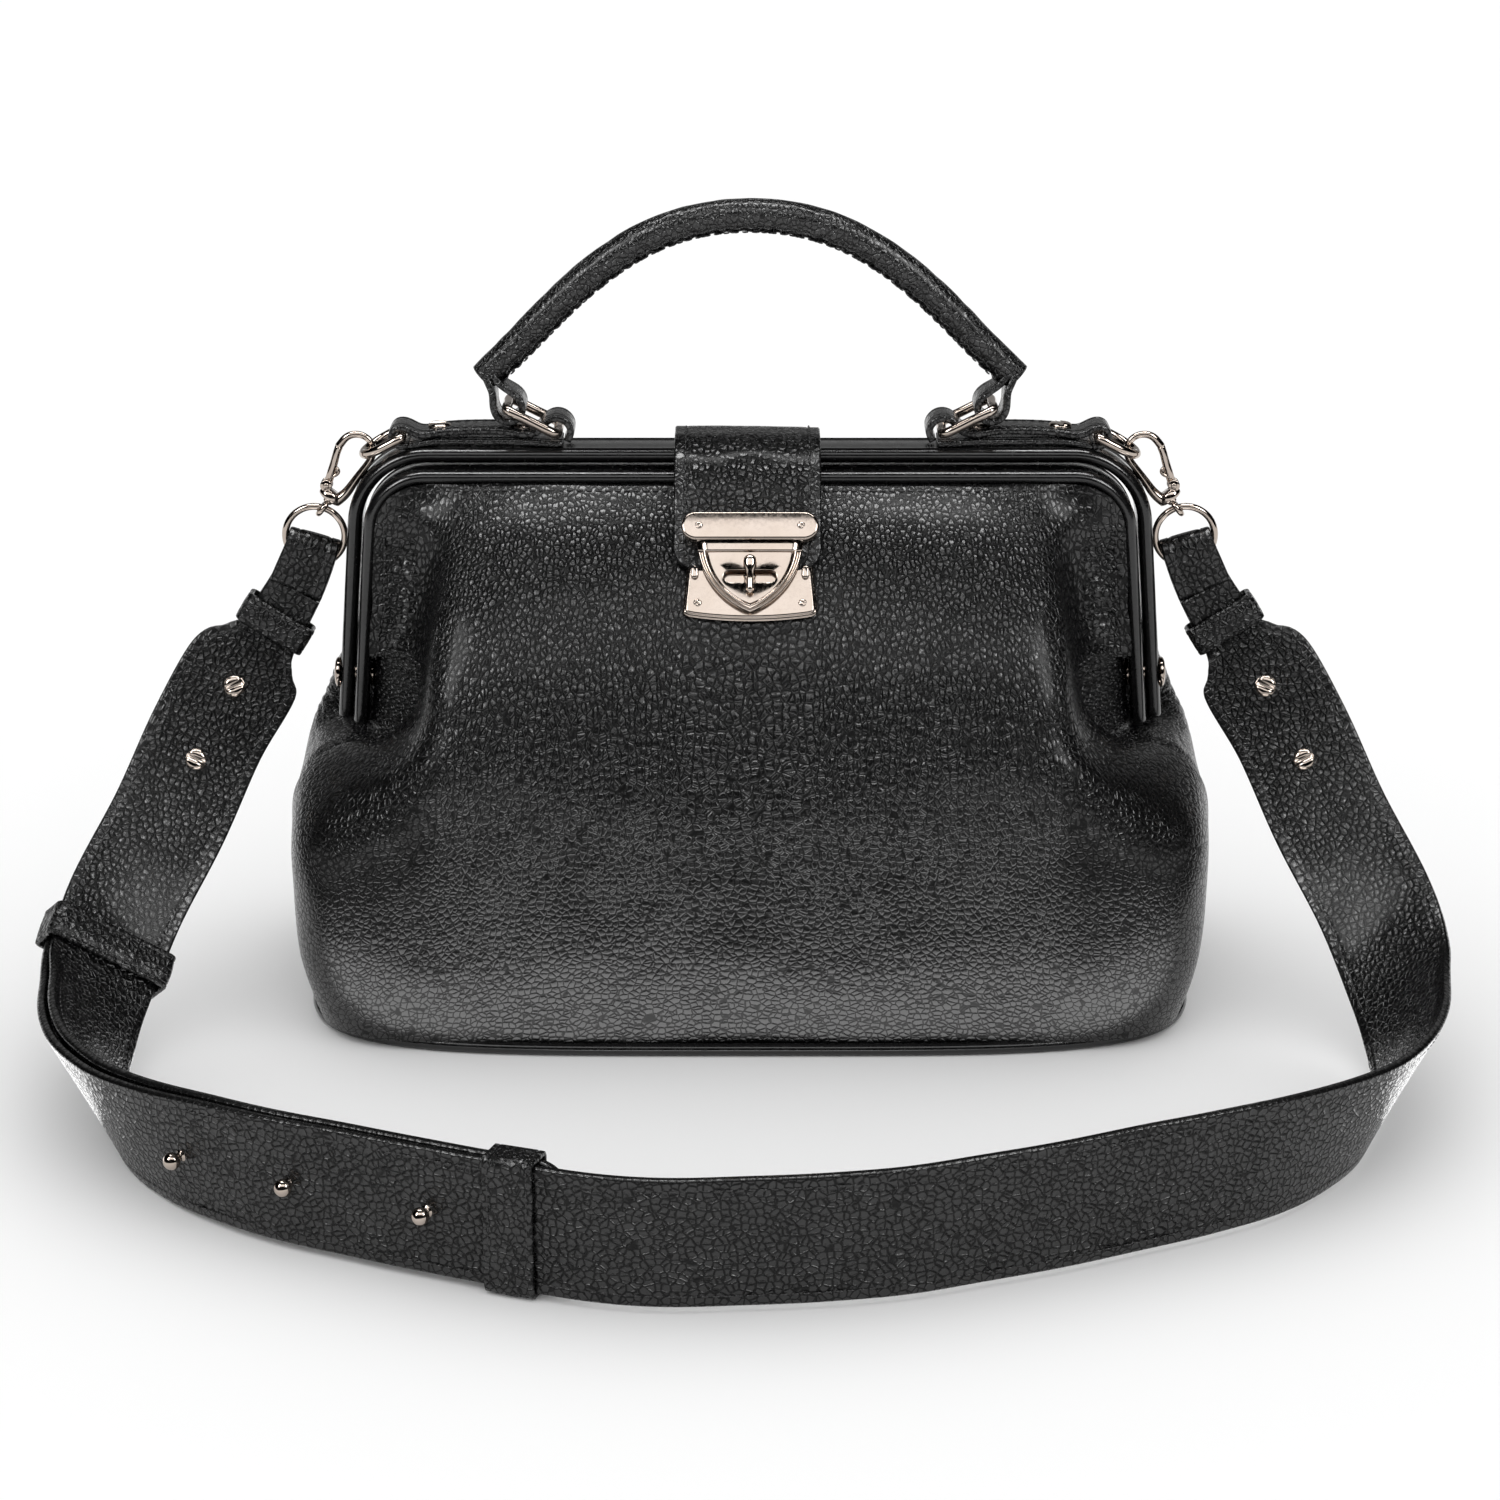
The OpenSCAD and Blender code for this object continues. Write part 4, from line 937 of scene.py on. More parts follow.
def screw_head(pile, at, axis_x, axis_y, axis_z, r, h, turn, dome=0.35):
    """A domed round head with a slot cut across it."""
    cos, sin = math.cos(turn), math.sin(turn)
    u, w = axis_x * cos + axis_y * sin, -axis_x * sin + axis_y * cos
    slot, deep = 0.15 * r + 0.05, 0.42 * h + 0.1
    rim = 0.97
    outer = [s * k * r * rim for k in (0.55, 0.75, 0.9, 0.97, 0.999) for s in (-1, 1)]
    lines = sorted([-slot - 0.05, -slot + 0.05, 0, slot - 0.05, slot + 0.05] + outer)
    across = np.array([-1, -0.97, -0.88, -0.6, -0.3, 0, 0.3, 0.6, 0.88, 0.97, 1])
    rows = []
    for y in lines:
        x = math.sqrt(max((r * rim) ** 2 - y * y, 0)) * across
        rr = np.sqrt(x * x + y * y) / (r * rim)
        z = h + dome * (1 - rr ** 2) - h * 0.42 * np.clip((rr - 0.82) / 0.18, 0, 1) ** 2
        if abs(y) < slot:
            z = z - deep
        rows.append(at + u * x[:, None] + w * y + axis_z * z[:, None])
    rows = np.array(rows)
    pile.add(rows.reshape(-1, 3), grid_faces(*rows.shape[:2]))
    m = 32
    rings = []
    for k, z in ((rim, -0.6), (1, -0.45), (1, h * 0.4), (rim, h * 0.6), (rim - 0.12, h * 0.42)):
        ring = circle(r * k, m)
        rings.append(at + u * ring[:, :1] + w * ring[:, 1:] + axis_z * z)
    v = np.array(rings).reshape(-1, 3)
    pile.add(v, grid_faces(len(rings), m, wrap=True).tolist() + caps(len(rings), m))


def lock():
    """Hasp with its shield, base plate, their screws, and the turn knob."""
    x, y, z = LOCK
    # hasp: bar with round ends
    bar = Pile()
    v, f = plate(pill(21.6, 4.7, 72) + vec(0, 12.5),
                 [(0.5, 3.4), (0.1, 3.6), (0, 4.0), (0, 4.6), (0.35, 4.95), (0.1, 5.25), (0.0, 5.7),
                  (0, 6.3), (0.2, 6.75), (0.6, 6.98), (1.0, 7.02)])
    bar.add(on_lock(v), f)
    # sloping step between bar and shield
    m = 9
    xs = np.linspace(-16.2, 16.2, m)
    rows = []
    for yy, zz in ((8.4, 3.5), (8.4, 6.7), (7.7, 6.3), (6.6, 6.02), (4.8, 5.97), (4.4, 5.9),
                   (4.2, 5.6), (4.1, 4.6)):
        rows.append(np.column_stack([xs * (1 + 0.006 * (yy - 4)), np.full(m, yy), np.full(m, zz)]))
    rows = np.array(rows)
    f = grid_faces(*rows.shape[:2]).tolist()
    f += [[k * m for k in range(len(rows))], [k * m + m - 1 for k in range(len(rows))][::-1]]
    bar.add(on_lock(rows.reshape(-1, 3)), f)
    # shield with a double raised rim and a level slot
    m = 160
    angles = np.linspace(0, 2 * math.pi, m, endpoint=False)
    centre = vec(0, KNOB_Y)
    outer = from_angle(shield_outline(0.2), centre, angles)
    hole = from_angle(even(pill(8.2, 2.1, 200), 400), vec(0, 0), angles) + centre
    rings = []
    for share, zz in ((0.0, 3.3), (0.0, 4.6), (0.018, 5.0), (0.035, 5.12), (0.055, 5.0),
                      (0.07, 4.72), (0.085, 4.9), (0.105, 5.62), (0.13, 5.9), (0.155, 5.85),
                      (0.18, 5.45), (0.195, 5.12), (0.22, 5.02), (0.24, 5.02)):
        rings.append(np.column_stack([outer + (centre - outer) * share, np.full(m, zz)]))
    for grow, zz in ((0.35, 5.02), (0.12, 4.95), (0.0, 4.7), (0.0, 3.3)):
        ring = hole + unit(hole - centre) * grow
        rings.append(np.column_stack([ring, np.full(m, zz)]))
    rings = np.array(rings)
    f = grid_faces(len(rings) + 1, m, wrap=True) % (len(rings) * m)
    bar.add(on_lock(rings.reshape(-1, 3)), f.tolist())
    obj = bar.done("hasp_plate", NICKEL, "nickel", "flap")
    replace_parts(obj, "hasp")
    screws = Pile()
    for s, a in ((-1, 0.5), (1, -0.7)):
        at = on_lock(vec(s * 16, 12.5, 6.75))
        screw_head(screws, at, x, y, z, 1.35, 0.35, a)
    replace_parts(screws.done("hasp_screw_heads", NICKEL, "nickel", "flap"), "hasp_screws")
    # base plate
    arc = [(xx, 110 - math.sqrt(127.2 ** 2 - xx * xx)) for xx in np.linspace(-21.2, 21.2, 41)]
    poly = np.array(arc + [(19.4, 3.9), (-19.4, 3.9)])
    poly = even(poly, 200)
    for _ in range(14):
        poly = (np.roll(poly, 1, 0) + poly * 2 + np.roll(poly, -1, 0)) / 4
    v, f = plate(poly, [(0.0, 0.2), (-0.1, 0.5), (-0.1, 0.85), (0.25, 1.15), (0.55, 1.25),
                        (0.75, 1.35), (0.8, 1.75), (0.95, 2.02), (1.25, 2.14), (1.7, 2.16)])
    base_plate = Pile().add(on_lock(v), f)
    for s in (-1, 1):
        ear = pill(2.2, 1.25, 32)[:, ::-1] * vec(-1, 1) + vec(s * 17.4, -1.6)
        v, f = plate(ear, [(0, 1.9), (0, 2.9), (0.3, 3.2), (0.7, 3.3)])
        base_plate.add(on_lock(v), f)
    obj = base_plate.done("lock_base_plate", NICKEL, "nickel", "front_frame")
    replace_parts(obj, "lock_plate")
    screws = Pile()
    for s, a in ((-1, 0.9), (1, -0.4)):
        screw_head(screws, on_lock(vec(s * 16.4, -11.6, 1.95)), x, y, z, 1.35, 0.35, a)
    obj = screws.done("lock_screw_heads", NICKEL, "nickel", "front_frame")
    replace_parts(obj, "lock_screws")
    # knob: stem, and a wing that is round above and narrow below
    knob = Pile()
    stem = np.array([on_lock(vec(0, KNOB_Y, zz)) for zz in (0.5, 3, 5.2, 6.6)])
    knob.add(*sweep(stem, x, y, circle(1.6, 20)))
    ys = np.linspace(-6.6, 5.9, 33)
    half_w = np.interp(ys, [-6.6, -6.1, -5.2, -3.8, -2, -0.4, 1.4, 3, 4.4, 5.3, 5.9],
                       [0.05, 0.85, 1.25, 1.05, 0.95, 1.15, 1.7, 2.15, 2.0, 1.35, 0.05])
    lift = np.interp(ys, [-6.6, -4.5, -1, 2, 4, 5.9], [7.5, 7.7, 8.3, 8.9, 9.0, 8.5])
    half_h = half_w * 0.85 + 0.15
    prof = np.array([circle(1, 18) * vec(w, h) for w, h in zip(half_w, np.minimum(half_h, 1.5))])
    path = on_lock(np.column_stack([np.zeros(33), ys + KNOB_Y + 0.3, lift - 0.6]))
    knob.add(*sweep(path, x, z, prof))
    collar = [(0, 4.9), (0, 5.5), (0.4, 6.0), (0.9, 6.4), (1.1, 7.2)]
    ring_v, ring_f = plate(circle(1.9, 24), collar)
    knob.add(on_lock(ring_v + vec(0, KNOB_Y, 0)), ring_f)
    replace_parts(knob.done("knob_wing", NICKEL, "nickel", "knob"), "turn_knob")


lock()


# ---- tabs, rings and handle ------------------------------------------------
def top_tab(side, s):
    """Two wavy layers of leather over the hoop, looped round a ring at each end."""
    w = 13.0
    upper = [(58.4, 183.9), (57.3, 187.2), (59, 190.3), (62.2, 191.3), (65.3, 189.8),
             (67.4, 187.4), (71, 186.1), (78, 186.9), (86, 187.2), (95, 186.9), (101, 186.2),
             (106, 185.9), (110.5, 187.9), (113.6, 187.6), (114.7, 185), (113.2, 182.7),
             (109.5, 182.3)]
    lower = [(109.5, 182.0), (104, 183.2), (97, 183.7), (86, 183.6), (75, 183.5), (66, 183.1),
             (60, 182.9)]
    pile = Pile()
    for pts, t in ((upper, 2.2), (lower, 2.0)):
        c = curve(np.array(pts, float), 6)
        path, out = ribbon(c)
        prof = strip_profile(w, t, 10, 2.0, 0.1, 0.16)
        v, f = sided(*sweep(path, Y, out, prof), s)
        pile.add(v, f, grain=v / 1.9, grip=np.full(len(v), 0.4))
    obj = pile.done("tab_leather_" + side, ROLL, "edge_leather", "bag")
    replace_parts(obj, "tab_" + side)
    c = curve(np.array(upper, float), 6)
    pick = c[(c[:, 0] > 70) & (c[:, 0] < 104)]
    for yv in (-4.4, 4.4):
        path = np.column_stack([pick[:, 0] * s, np.full(len(pick), yv), pick[:, 1] + 1.12])
        stitch_line(STITCH["bag"], path, Z, 2.8, 0.26)
    heads = Pile()
    for k, xx in enumerate((74, 99.5)):
        at = vec(s * xx, 0, 187.5 + 0.1 * k)
        screw_head(heads, at, X, Y, Z, 3.7, 1.0, 0.7 * s + k)
    obj = heads.done("tab_screw_heads_" + side, NICKEL, "nickel", "bag")
    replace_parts(obj, "tab_screws_" + side)


def ring_bar(points, r, up):
    """A closed round bar of radius r through points, with up square to the ring."""
    path = curve(np.array(points, float), 6, True)
    a, b = axes_for(np.concatenate([path[-1:], path, path[:1]]), up)
    return sweep(path, a[1:-1], b[1:-1], circle(r, 14), closed=True)


def handle_rings(side, s):
    """Fat rectangular ring that leans out from the tab's loop to the handle's loop."""
    low, high = vec(61.5, 0, 186.7), vec(77.5, 0, 194.8)
    d = unit(high - low)
    mid, wide = (low + high) / 2, 8.6
    edge = [low - Y * 6.4, low - Y * 8.2 + d * 0.7, mid - Y * (wide + 0.1),
            high - Y * 8.2 - d * 0.7, high - Y * 6.4]
    pts = edge + [high] + [p * vec(1, -1, 1) for p in edge[::-1]] + [low]
    v, f = sided(*ring_bar(pts, 1.62, unit(np.cross(d, Y))), s)
    obj = new("handle_ring_bar_" + side, v, f, NICKEL, "bag")
    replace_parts(obj, "handle_ring_" + side)


RING_AT, RING_TILT = vec(111.5, 0, 185.5), math.radians(28)     # D-ring: its bar, its slope


def corner_ring(side, s):
    """D-ring: a straight bar in the tab's loop and a round bow."""
    u = vec(math.cos(RING_TILT), 0, -math.sin(RING_TILT))
    half = [RING_AT - Y * 7.6, RING_AT - Y * 8.4 + u * 0.9, RING_AT - Y * 8.5 + u * 5.0]
    bow = [RING_AT + u * (5.9 + 8.5 * math.cos(a)) + Y * 8.5 * math.sin(a)
           for a in np.radians(np.linspace(-75, 75, 7))]
    pts = half + bow + [p * vec(1, -1, 1) for p in half[::-1]] + [RING_AT]
    v, f = sided(*ring_bar(pts, 1.55, unit(np.cross(u, Y))), s)
    obj = new("corner_ring_" + side, v, f, NICKEL, "bag")
    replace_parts(obj, "strap_dring_" + side)


# The handle's middle line, right half: X and Z
HANDLE = [(0, 256), (14, 254.8), (29, 250.4), (46, 240.6), (62, 226.8), (75, 213.6), (84.9, 204.2)]
ROLL_RADIUS = 4.7


def handle():
    """A leather roll with square-cut ends, its seam underneath."""
    half = np.array(HANDLE, float)
    full = np.concatenate([(half * vec(-1, 1))[::-1][:-1], half])
    c = resample(curve(full, 10), 1.6 / FINE)
    n = len(c)
    path, out = ribbon(c)
    m = 40
    t = np.arange(m) * 2 * math.pi / m
    s = lengths(path)
    ang = np.broadcast_to(t, (n, m))
    ss = np.broadcast_to(s[:, None], (n, m))
    q = np.stack([ss / 7.0, np.cos(ang) * 1.2, np.sin(ang) * 1.2], -1).reshape(-1, 3)
    # t = pi/2 is the outer (upper) side, 3 pi / 2 the seam
    under = np.clip(-np.sin(ang), 0, 1)
    wr = np.sin(ss * 1.15 + 4 * hash_noise(q, 51).reshape(n, m)) * under ** 1.3 * 0.34
    seam = -0.9 * np.exp(-((np.abs(ang - 1.5 * math.pi) - 0.42) / 0.09) ** 2)
    lip = 1.0 * (np.abs(ang - 1.5 * math.pi) < 0.40)
    end = np.minimum(ss, s[-1] - ss)
    fat = np.interp(end, [0, 4, 30, 80], [0.95, 1.0, 1.04, 1.06])
    uneven = (hash_noise(q * 1.7, 52).reshape(n, m) - 0.5) * 0.25
    r = ROLL_RADIUS * fat + wr + seam * 0.55 + lip * 0.7 + uneven
    prof = np.stack([np.cos(ang) * r, np.sin(ang) * r], -1)
    v, f = sweep(path, Y, out, prof, round_ends=0.7)
    rows = len(v) // m
    s_all = np.concatenate([[0] * 3, s, [s[-1]] * 3])
    grain = np.stack([np.repeat(s_all, m) / 1.9, np.tile(np.cos(t), rows) * 2.3,
                      np.tile(np.sin(t), rows) * 2.3], 1)
    obj = new("handle_leather", v, f, ROLL, "handle",
              extra={"grain": grain, "grip": np.full(len(v), 0.95)})
    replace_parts(obj, "handle_roll")
    for side in (-1.9, 1.9):
        pos = path - out * (ROLL_RADIUS + 0.55) + Y * side
        stitch_line(STITCH["handle"], pos[4:-4], -out[4:-4], 3.0, 0.3)


def handle_loop(side, s):
    """The strap end that leaves the roll and turns round the ring's upper bar."""
    pts = [(84.6, 205.6), (83.6, 202.9), (82.2, 199.6), (81.9, 195.6), (80.4, 191.6), (76.6, 190.2),
           (73.2, 192.4), (72.9, 196.2), (75.4, 199.2), (79, 201.6), (82.6, 205.2)]
    c = curve(np.array(pts, float), 6)
    path = np.column_stack([c[:, 0], np.zeros(len(c)), c[:, 1]])
    out = np.cross(unit(np.gradient(path, axis=0)), Y)
    w = np.interp(np.arange(len(c)) / (len(c) - 1), [0, 0.25, 0.75, 1], [8.6, 13.2, 13.2, 8.6])
    prof = np.array([strip_profile(ww, 2.3, 10, 2.2, 0.0, 0.15) for ww in w])
    v, f = sided(*sweep(path, Y, out, prof), s)
    obj = new("handle_loop_strip_" + side, v, f, ROLL,
              extra={"grain": v / 1.8, "grip": np.full(len(v), 0.5)})
    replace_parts(obj, "handle_loop_" + side)
    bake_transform(obj)


for side, s in SIDES:
    top_tab(side, s)
    handle_rings(side, s)
    corner_ring(side, s)
    handle_loop(side, s)
handle()


def rivets():
    """Domed heads at both ends of each hinge rivet, on a round shank."""
    dome = ((0.1, 0), (0.55, -0.12), (0.82, -0.4), (0.95, -0.8), (1.0, -1.25), (0.98, -1.8))
    for side, s in SIDES:
        lo, hi = (np.array(v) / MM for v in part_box("hinge_rivet_" + side))
        x_out = hi[0] if s > 0 else lo[0]
        x_in = lo[0] if s > 0 else hi[0]
        pile = Pile()
        for x0, d, r in ((x_out, 1, 5.0), (x_in, -1, 4.5)):
            rings = []
            for rr, z in dome:
                ring = circle(r * rr, 32)
                rings.append(np.column_stack([np.full(32, x0 + s * d * z), HINGE[0] + ring[:, 0],
                                              HINGE[1] + ring[:, 1]]))
            v = np.array(rings).reshape(-1, 3)
            f = grid_faces(len(rings), 32, wrap=True).tolist() + [list(range(32))[::-1]]
            pile.add(v, f)
        path = np.array([[x_in + s, *HINGE], [x_out - s, *HINGE]])
        pile.add(*sweep(path, Y, Z, circle(2, 16)))
        obj = pile.done("rivet_" + side, NICKEL, "nickel", "bag")
        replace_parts(obj, "hinge_rivet_" + side)


rivets()

# ---- snap hooks ------------------------------------------------------------
HOOK_TILT = math.radians(38)


def hook_origin():
    """X and Z of the right hook's foot, so that its arc hangs in the corner ring's bow."""
    bar = vec(RING_AT[0] + 14.4 * math.cos(RING_TILT), RING_AT[2] - 14.4 * math.sin(RING_TILT))
    c, s = math.cos(HOOK_TILT), math.sin(HOOK_TILT)
    return bar + vec(-0.4 * c + 22.9 * s, -0.4 * s - 22.9 * c)


HOOK_AT = hook_origin()


def on_hook(p, side):
    """Local X towards the bag, Y up the hook, Z square to both."""
    p = np.asarray(p, float)
    c, s = math.cos(HOOK_TILT), math.sin(HOOK_TILT)
    x = HOOK_AT[0] - p[:, 0] * c - p[:, 1] * s
    z = HOOK_AT[1] - p[:, 0] * s + p[:, 1] * c
    return np.column_stack([x * side, -p[:, 2], z])


def local_tube(points, widths, flats, m=14, smooth_n=7):
    """A bar in a hook's own plane, w wide in the plane and thick across it."""
    rows = np.column_stack([np.array(points, float), widths, flats])
    c = curve(rows, smooth_n)
    path = np.column_stack([c[:, 0], c[:, 1], np.zeros(len(c))])
    side = np.cross(Z, unit(np.gradient(path, axis=0)))
    prof = np.array([circle(1, m) * vec(w, h) for w, h in c[:, 2:4]])
    return sweep(path, side, Z, prof, round_ends=0.5)


def snap_hook(side, s):
    """Body with a collar and two lugs, gate on a pin, swivel eye and round ring."""
    pile = Pile()

    def put(v, f):
        pile.add(on_hook(v, s), f if s > 0 else [q[::-1] for q in f])

    put(*local_tube([(2.0, 4.6), (2.9, 8), (2.85, 14), (2.8, 20), (2.3, 23.8), (0.4, 26.5),
                     (-2.6, 27.4), (-5.7, 26.4), (-7.7, 23.8), (-8.0, 21.2), (-8.0, 19.9)],
                    [2.0, 1.7, 1.35, 1.2, 1.15, 1.1, 1.1, 1.15, 1.25, 1.3, 1.3],
                    [2.3, 2.1, 1.8, 1.5, 1.3, 1.15, 1.1, 1.15, 1.3, 1.3, 1.25]))
    # shoulders and collar
    ys = vec(3.4, 3.7, 4.4, 5.2, 6.0, 6.6)
    rr = vec(3.3, 3.9, 4.1, 3.9, 3.5, 2.9)
    prof = np.array([circle(r, 24) * vec(1, 0.8) for r in rr])
    path = np.column_stack([np.full(6, -0.2), ys, np.zeros(6)])
    put(*sweep(path, X, Z, prof))
    for zc in (-1.55, 1.55):
        lug = circle(1.95, 24) + vec(-3.6, 7.0)
        half = 0.55
        put(*plate(lug, [(0.25, zc - half), (0, zc - half + 0.2), (0, zc + half - 0.2),
                         (0.25, zc + half)]))
    obj = pile.done("hook_body_" + side, NICKEL, "nickel", "hook_" + side)
    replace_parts(obj, "hook_" + side)
    pile = Pile()
    put(*plate(circle(0.95, 20) + vec(-3.6, 7.0), [(0.3, -2.5), (0, -2.3), (0, 2.3), (0.3, 2.5)]))
    obj = pile.done("hook_pin_" + side, NICKEL, "nickel", "hook_" + side)
    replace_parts(obj, "gate_pin_" + side)
    pile = Pile()
    put(*local_tube([(-3.4, 6.0), (-3.7, 8.0), (-4.6, 10.6), (-6.0, 14.4), (-7.2, 17.4), (-7.75, 19.2)],
                    [1.0, 1.3, 1.35, 1.3, 1.25, 1.3], [0.85, 0.85, 1.2, 1.3, 1.3, 1.25]))
    # thumb piece on the gate's inner side
    put(*local_tube([(-4.3, 9.6), (-3.3, 11.2), (-3.2, 12.8), (-4.6, 13.6)], [0.5, 0.7, 0.7, 0.4],
                    [0.9, 1.0, 0.9, 0.7], 10, 5))
    obj = pile.done("gate_bar_" + side, NICKEL, "nickel", "gate_" + side)
    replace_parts(obj, "hook_gate_" + side)
    # swivel eye
    pile = Pile()
    t = np.linspace(0, 2 * math.pi, 28, endpoint=False)
    path = np.column_stack([np.zeros(28), 2.4 * np.cos(t), 2.4 * np.sin(t)])
    put(*sweep(path, unit(path), X, circle(0.95, 12), closed=True))
    prof = np.array([circle(r, 18) for r in (1.0, 1.5, 1.7, 1.5, 1.0)])
    path = np.column_stack([np.zeros(5), vec(1.9, 2.3, 2.9, 3.3, 3.5), np.zeros(5)])
    put(*sweep(path, X, Z, prof))
    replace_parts(pile.done("swivel_eye_" + side, NICKEL, "nickel", "strap"), "swivel_" + side)
    # round ring
    centre = HOOK_AT + vec(2.85, -9.2)
    t = np.linspace(0, 2 * math.pi, 72, endpoint=False)
    path = np.column_stack([(centre[0] + 9.6 * np.cos(t)) * s, np.zeros(72),
                            centre[1] + 9.6 * np.sin(t)])
    a = unit(path - vec(centre[0] * s, 0, centre[1]))
    v, f = sweep(path, a, Y, circle(1.15, 12), closed=True)
    obj = new("round_ring_" + side, v, f, NICKEL, "strap")
    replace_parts(obj, "strap_ring_" + side)


for side, s in SIDES:
    snap_hook(side, s)

# ---- the shoulder strap ----------------------------------------------------
LAYER, WIDE, NARROW = 4.0, 38.0, 20.0
# Rows of the left side, from the ring down to the floor and forward: centre, the direction
# across the strap, and its width
SIDE = [(-147.5, -3.1, 134, -0.95, 0, 0.3, 18), (-156.3, -4, 119.7, -0.93, 0, 0.36, 20),
        (-160, -5.8, 114.8, -0.91, 0, 0.41, 26.6), (-164.4, -8.5, 108.6, -0.88, 0, 0.48, 38),
        (-175.9, -18, 89.7, -0.87, 0, 0.49, 38), (-187.1, -34, 66.1, -0.87, 0, 0.49, 38),
        (-199.1, -55, 45.1, -0.84, -0.05, 0.54, 38), (-204.5, -74, 30, -0.72, -0.12, 0.68, 38),
        (-205, -92, 23, -0.6, -0.2, 0.78, 38), (-202, -118, 20, -0.5, -0.2, 0.84, 38),
        (-193, -146, 19.3, -0.4, -0.15, 0.9, 38), (-177, -173, 19.8, -0.26, -0.12, 0.96, 38)]
ACROSS = [(-150, -197, 20.8, -0.08, -0.05, 1, 38), (-115, -215.5, 20.8, 0, 0, 1, 38),
          (-75, -233.5, 20.8, 0, 0, 1, 38), (-35, -247, 20.8, 0, 0, 1, 38),
          (0, -251.5, 20.8, 0, 0, 1, 38)]
FOLD_MID, FOLD_R = vec(-141.85, 0, 147.45), 3.1     # the half turn round the left ring


def catmull(p, n):
    """Rows between each two, as in the CAD route, n steps a span."""
    p = np.asarray(p, float)
    out = []
    for i in range(len(p) - 1):
        a, b, c, d = p[max(i - 1, 0)], p[i], p[i + 1], p[min(i + 2, len(p) - 1)]
        for k in range(n):
            t = k / n
            out.append(0.5 * (2 * b + (c - a) * t + (2 * a - 5 * b + 4 * c - d) * t * t
                              + (3 * b - a - 3 * c + d) * t ** 3))
    return np.array(out + [p[-1]])


def other(rows):
    """The same rows on the other side."""
    return np.asarray(rows, float) * vec(-1, 1, 1, -1, 1, 1, 1)


def shift(rows, s):
    """Rows with a last value: how far they lie out of the route's own surface."""
    rows = np.asarray(rows, float)
    return np.column_stack([rows, np.full(len(rows), s)])


def route_axes(route):
    """Axes along, across and out of a strap."""
    t = unit(np.gradient(route[:, :3], axis=0))
    w = route[:, 3:6]
    w = unit(w - t * (w * t).sum(1, keepdims=True))
    return t, w, np.cross(t, w)


CAD_STEPS, STEPS = 3, 9         # rows to a span in the CAD route and here


def routes():
    """The short strap's rows on the left, and the long strap's from its left end to the right."""
    short = np.concatenate([shift(SIDE, 0), shift(ACROSS[:3], 0),
                            shift([(-48, -243.2, 20.8, 0, 0, 1, 38)], 0)])
    far = other(ACROSS)[3::-1]
    right = other(SIDE)[::-1]
    long = np.concatenate([shift([(-201.2, -61, 38.8, -0.81, -0.07, 0.58, 38)], LAYER),
                           shift(SIDE[7:], LAYER), shift(ACROSS[:3], LAYER),
                           shift(ACROSS[3:4], LAYER + 0.4), shift(ACROSS[4:], 0.3),
                           shift(far, 0), shift(right, 0)])
    return short, long


SHORT, LONG = routes()


def place(route):
    """Centre line of a route moved out by its own last value, and its axes."""
    t, w, f = route_axes(route)
    return route[:, :3] + f * route[:, 7:8], t, w, f


def rounded_end(route, r, at_start):
    """Narrows the last few rows of a route so that the strip's end is round."""
    s = lengths(route[:, :3])
    d = s if at_start else s[-1] - s
    cut = np.where(d < r, 2 * (r - np.sqrt(np.maximum(r * r - (r - d) ** 2, 0))), 0)
    out = route.copy()
    out[:, 6] = np.maximum(out[:, 6] - cut, 1.0)
    return out


def dense(route, step):
    """The route with rows at even steps."""
    s = lengths(route[:, :3])
    x = np.linspace(0, s[-1], int(s[-1] / step) + 1)
    return np.stack([np.interp(x, s, route[:, k]) for k in range(route.shape[1])], 1)


def fold_route():
    """The folded end on the left: inner tail, half turn through the ring, and the front."""
    tail = shift([SIDE[0], SIDE[1], (-164.4, -8.5, 108.6, -0.88, 0, 0.48, 20),
                  (-175.9, -18, 89.7, -0.87, 0, 0.49, 20), (-180, -23, 81.5, -0.87, 0, 0.49, 20)], 0)
    f = route_axes(tail)[2]
    back_rows = tail.copy()
    for i in range(len(tail)):
        back_rows[i, :3] = tail[i, :3] + f[i] * (LAYER + (2.6 if i == 0 else 0.15))
    turn = []
    for a in range(-90, 91, 30):
        c, s = math.cos(math.radians(a)), math.sin(math.radians(-a))
        turn.append((FOLD_MID[0] + 0.3 * FOLD_R * c, FOLD_R * s, FOLD_MID[2] + FOLD_R * c,
                     -0.96, 0, 0.28, 17.0, 0))
    return np.concatenate([back_rows[::-1], np.array(turn), shift(SIDE[:1], 0)])


def strap_profiles(route):
    """Cross-sections along a route: the full width's, with its middle drawn in or out."""
    full, margin = WIDE / 2, 4.2
    base_prof = strip_profile(WIDE, 2.8, 18, 3.2, 0.18, 0.24)
    x = base_prof[:, 0]
    prof = np.repeat(base_prof[None], len(route), 0)
    for k, hw in enumerate(route[:, 6] / 2):
        edge = np.sign(x) * (hw - np.minimum(full - np.abs(x), full))
        inner = x * max(hw - margin, 0.2) / (full - margin)
        prof[k, :, 0] = np.where(np.abs(x) < full - margin, inner, edge)
        if hw < margin + 0.2:
            prof[k, :, 0] = x * hw / full
    return prof


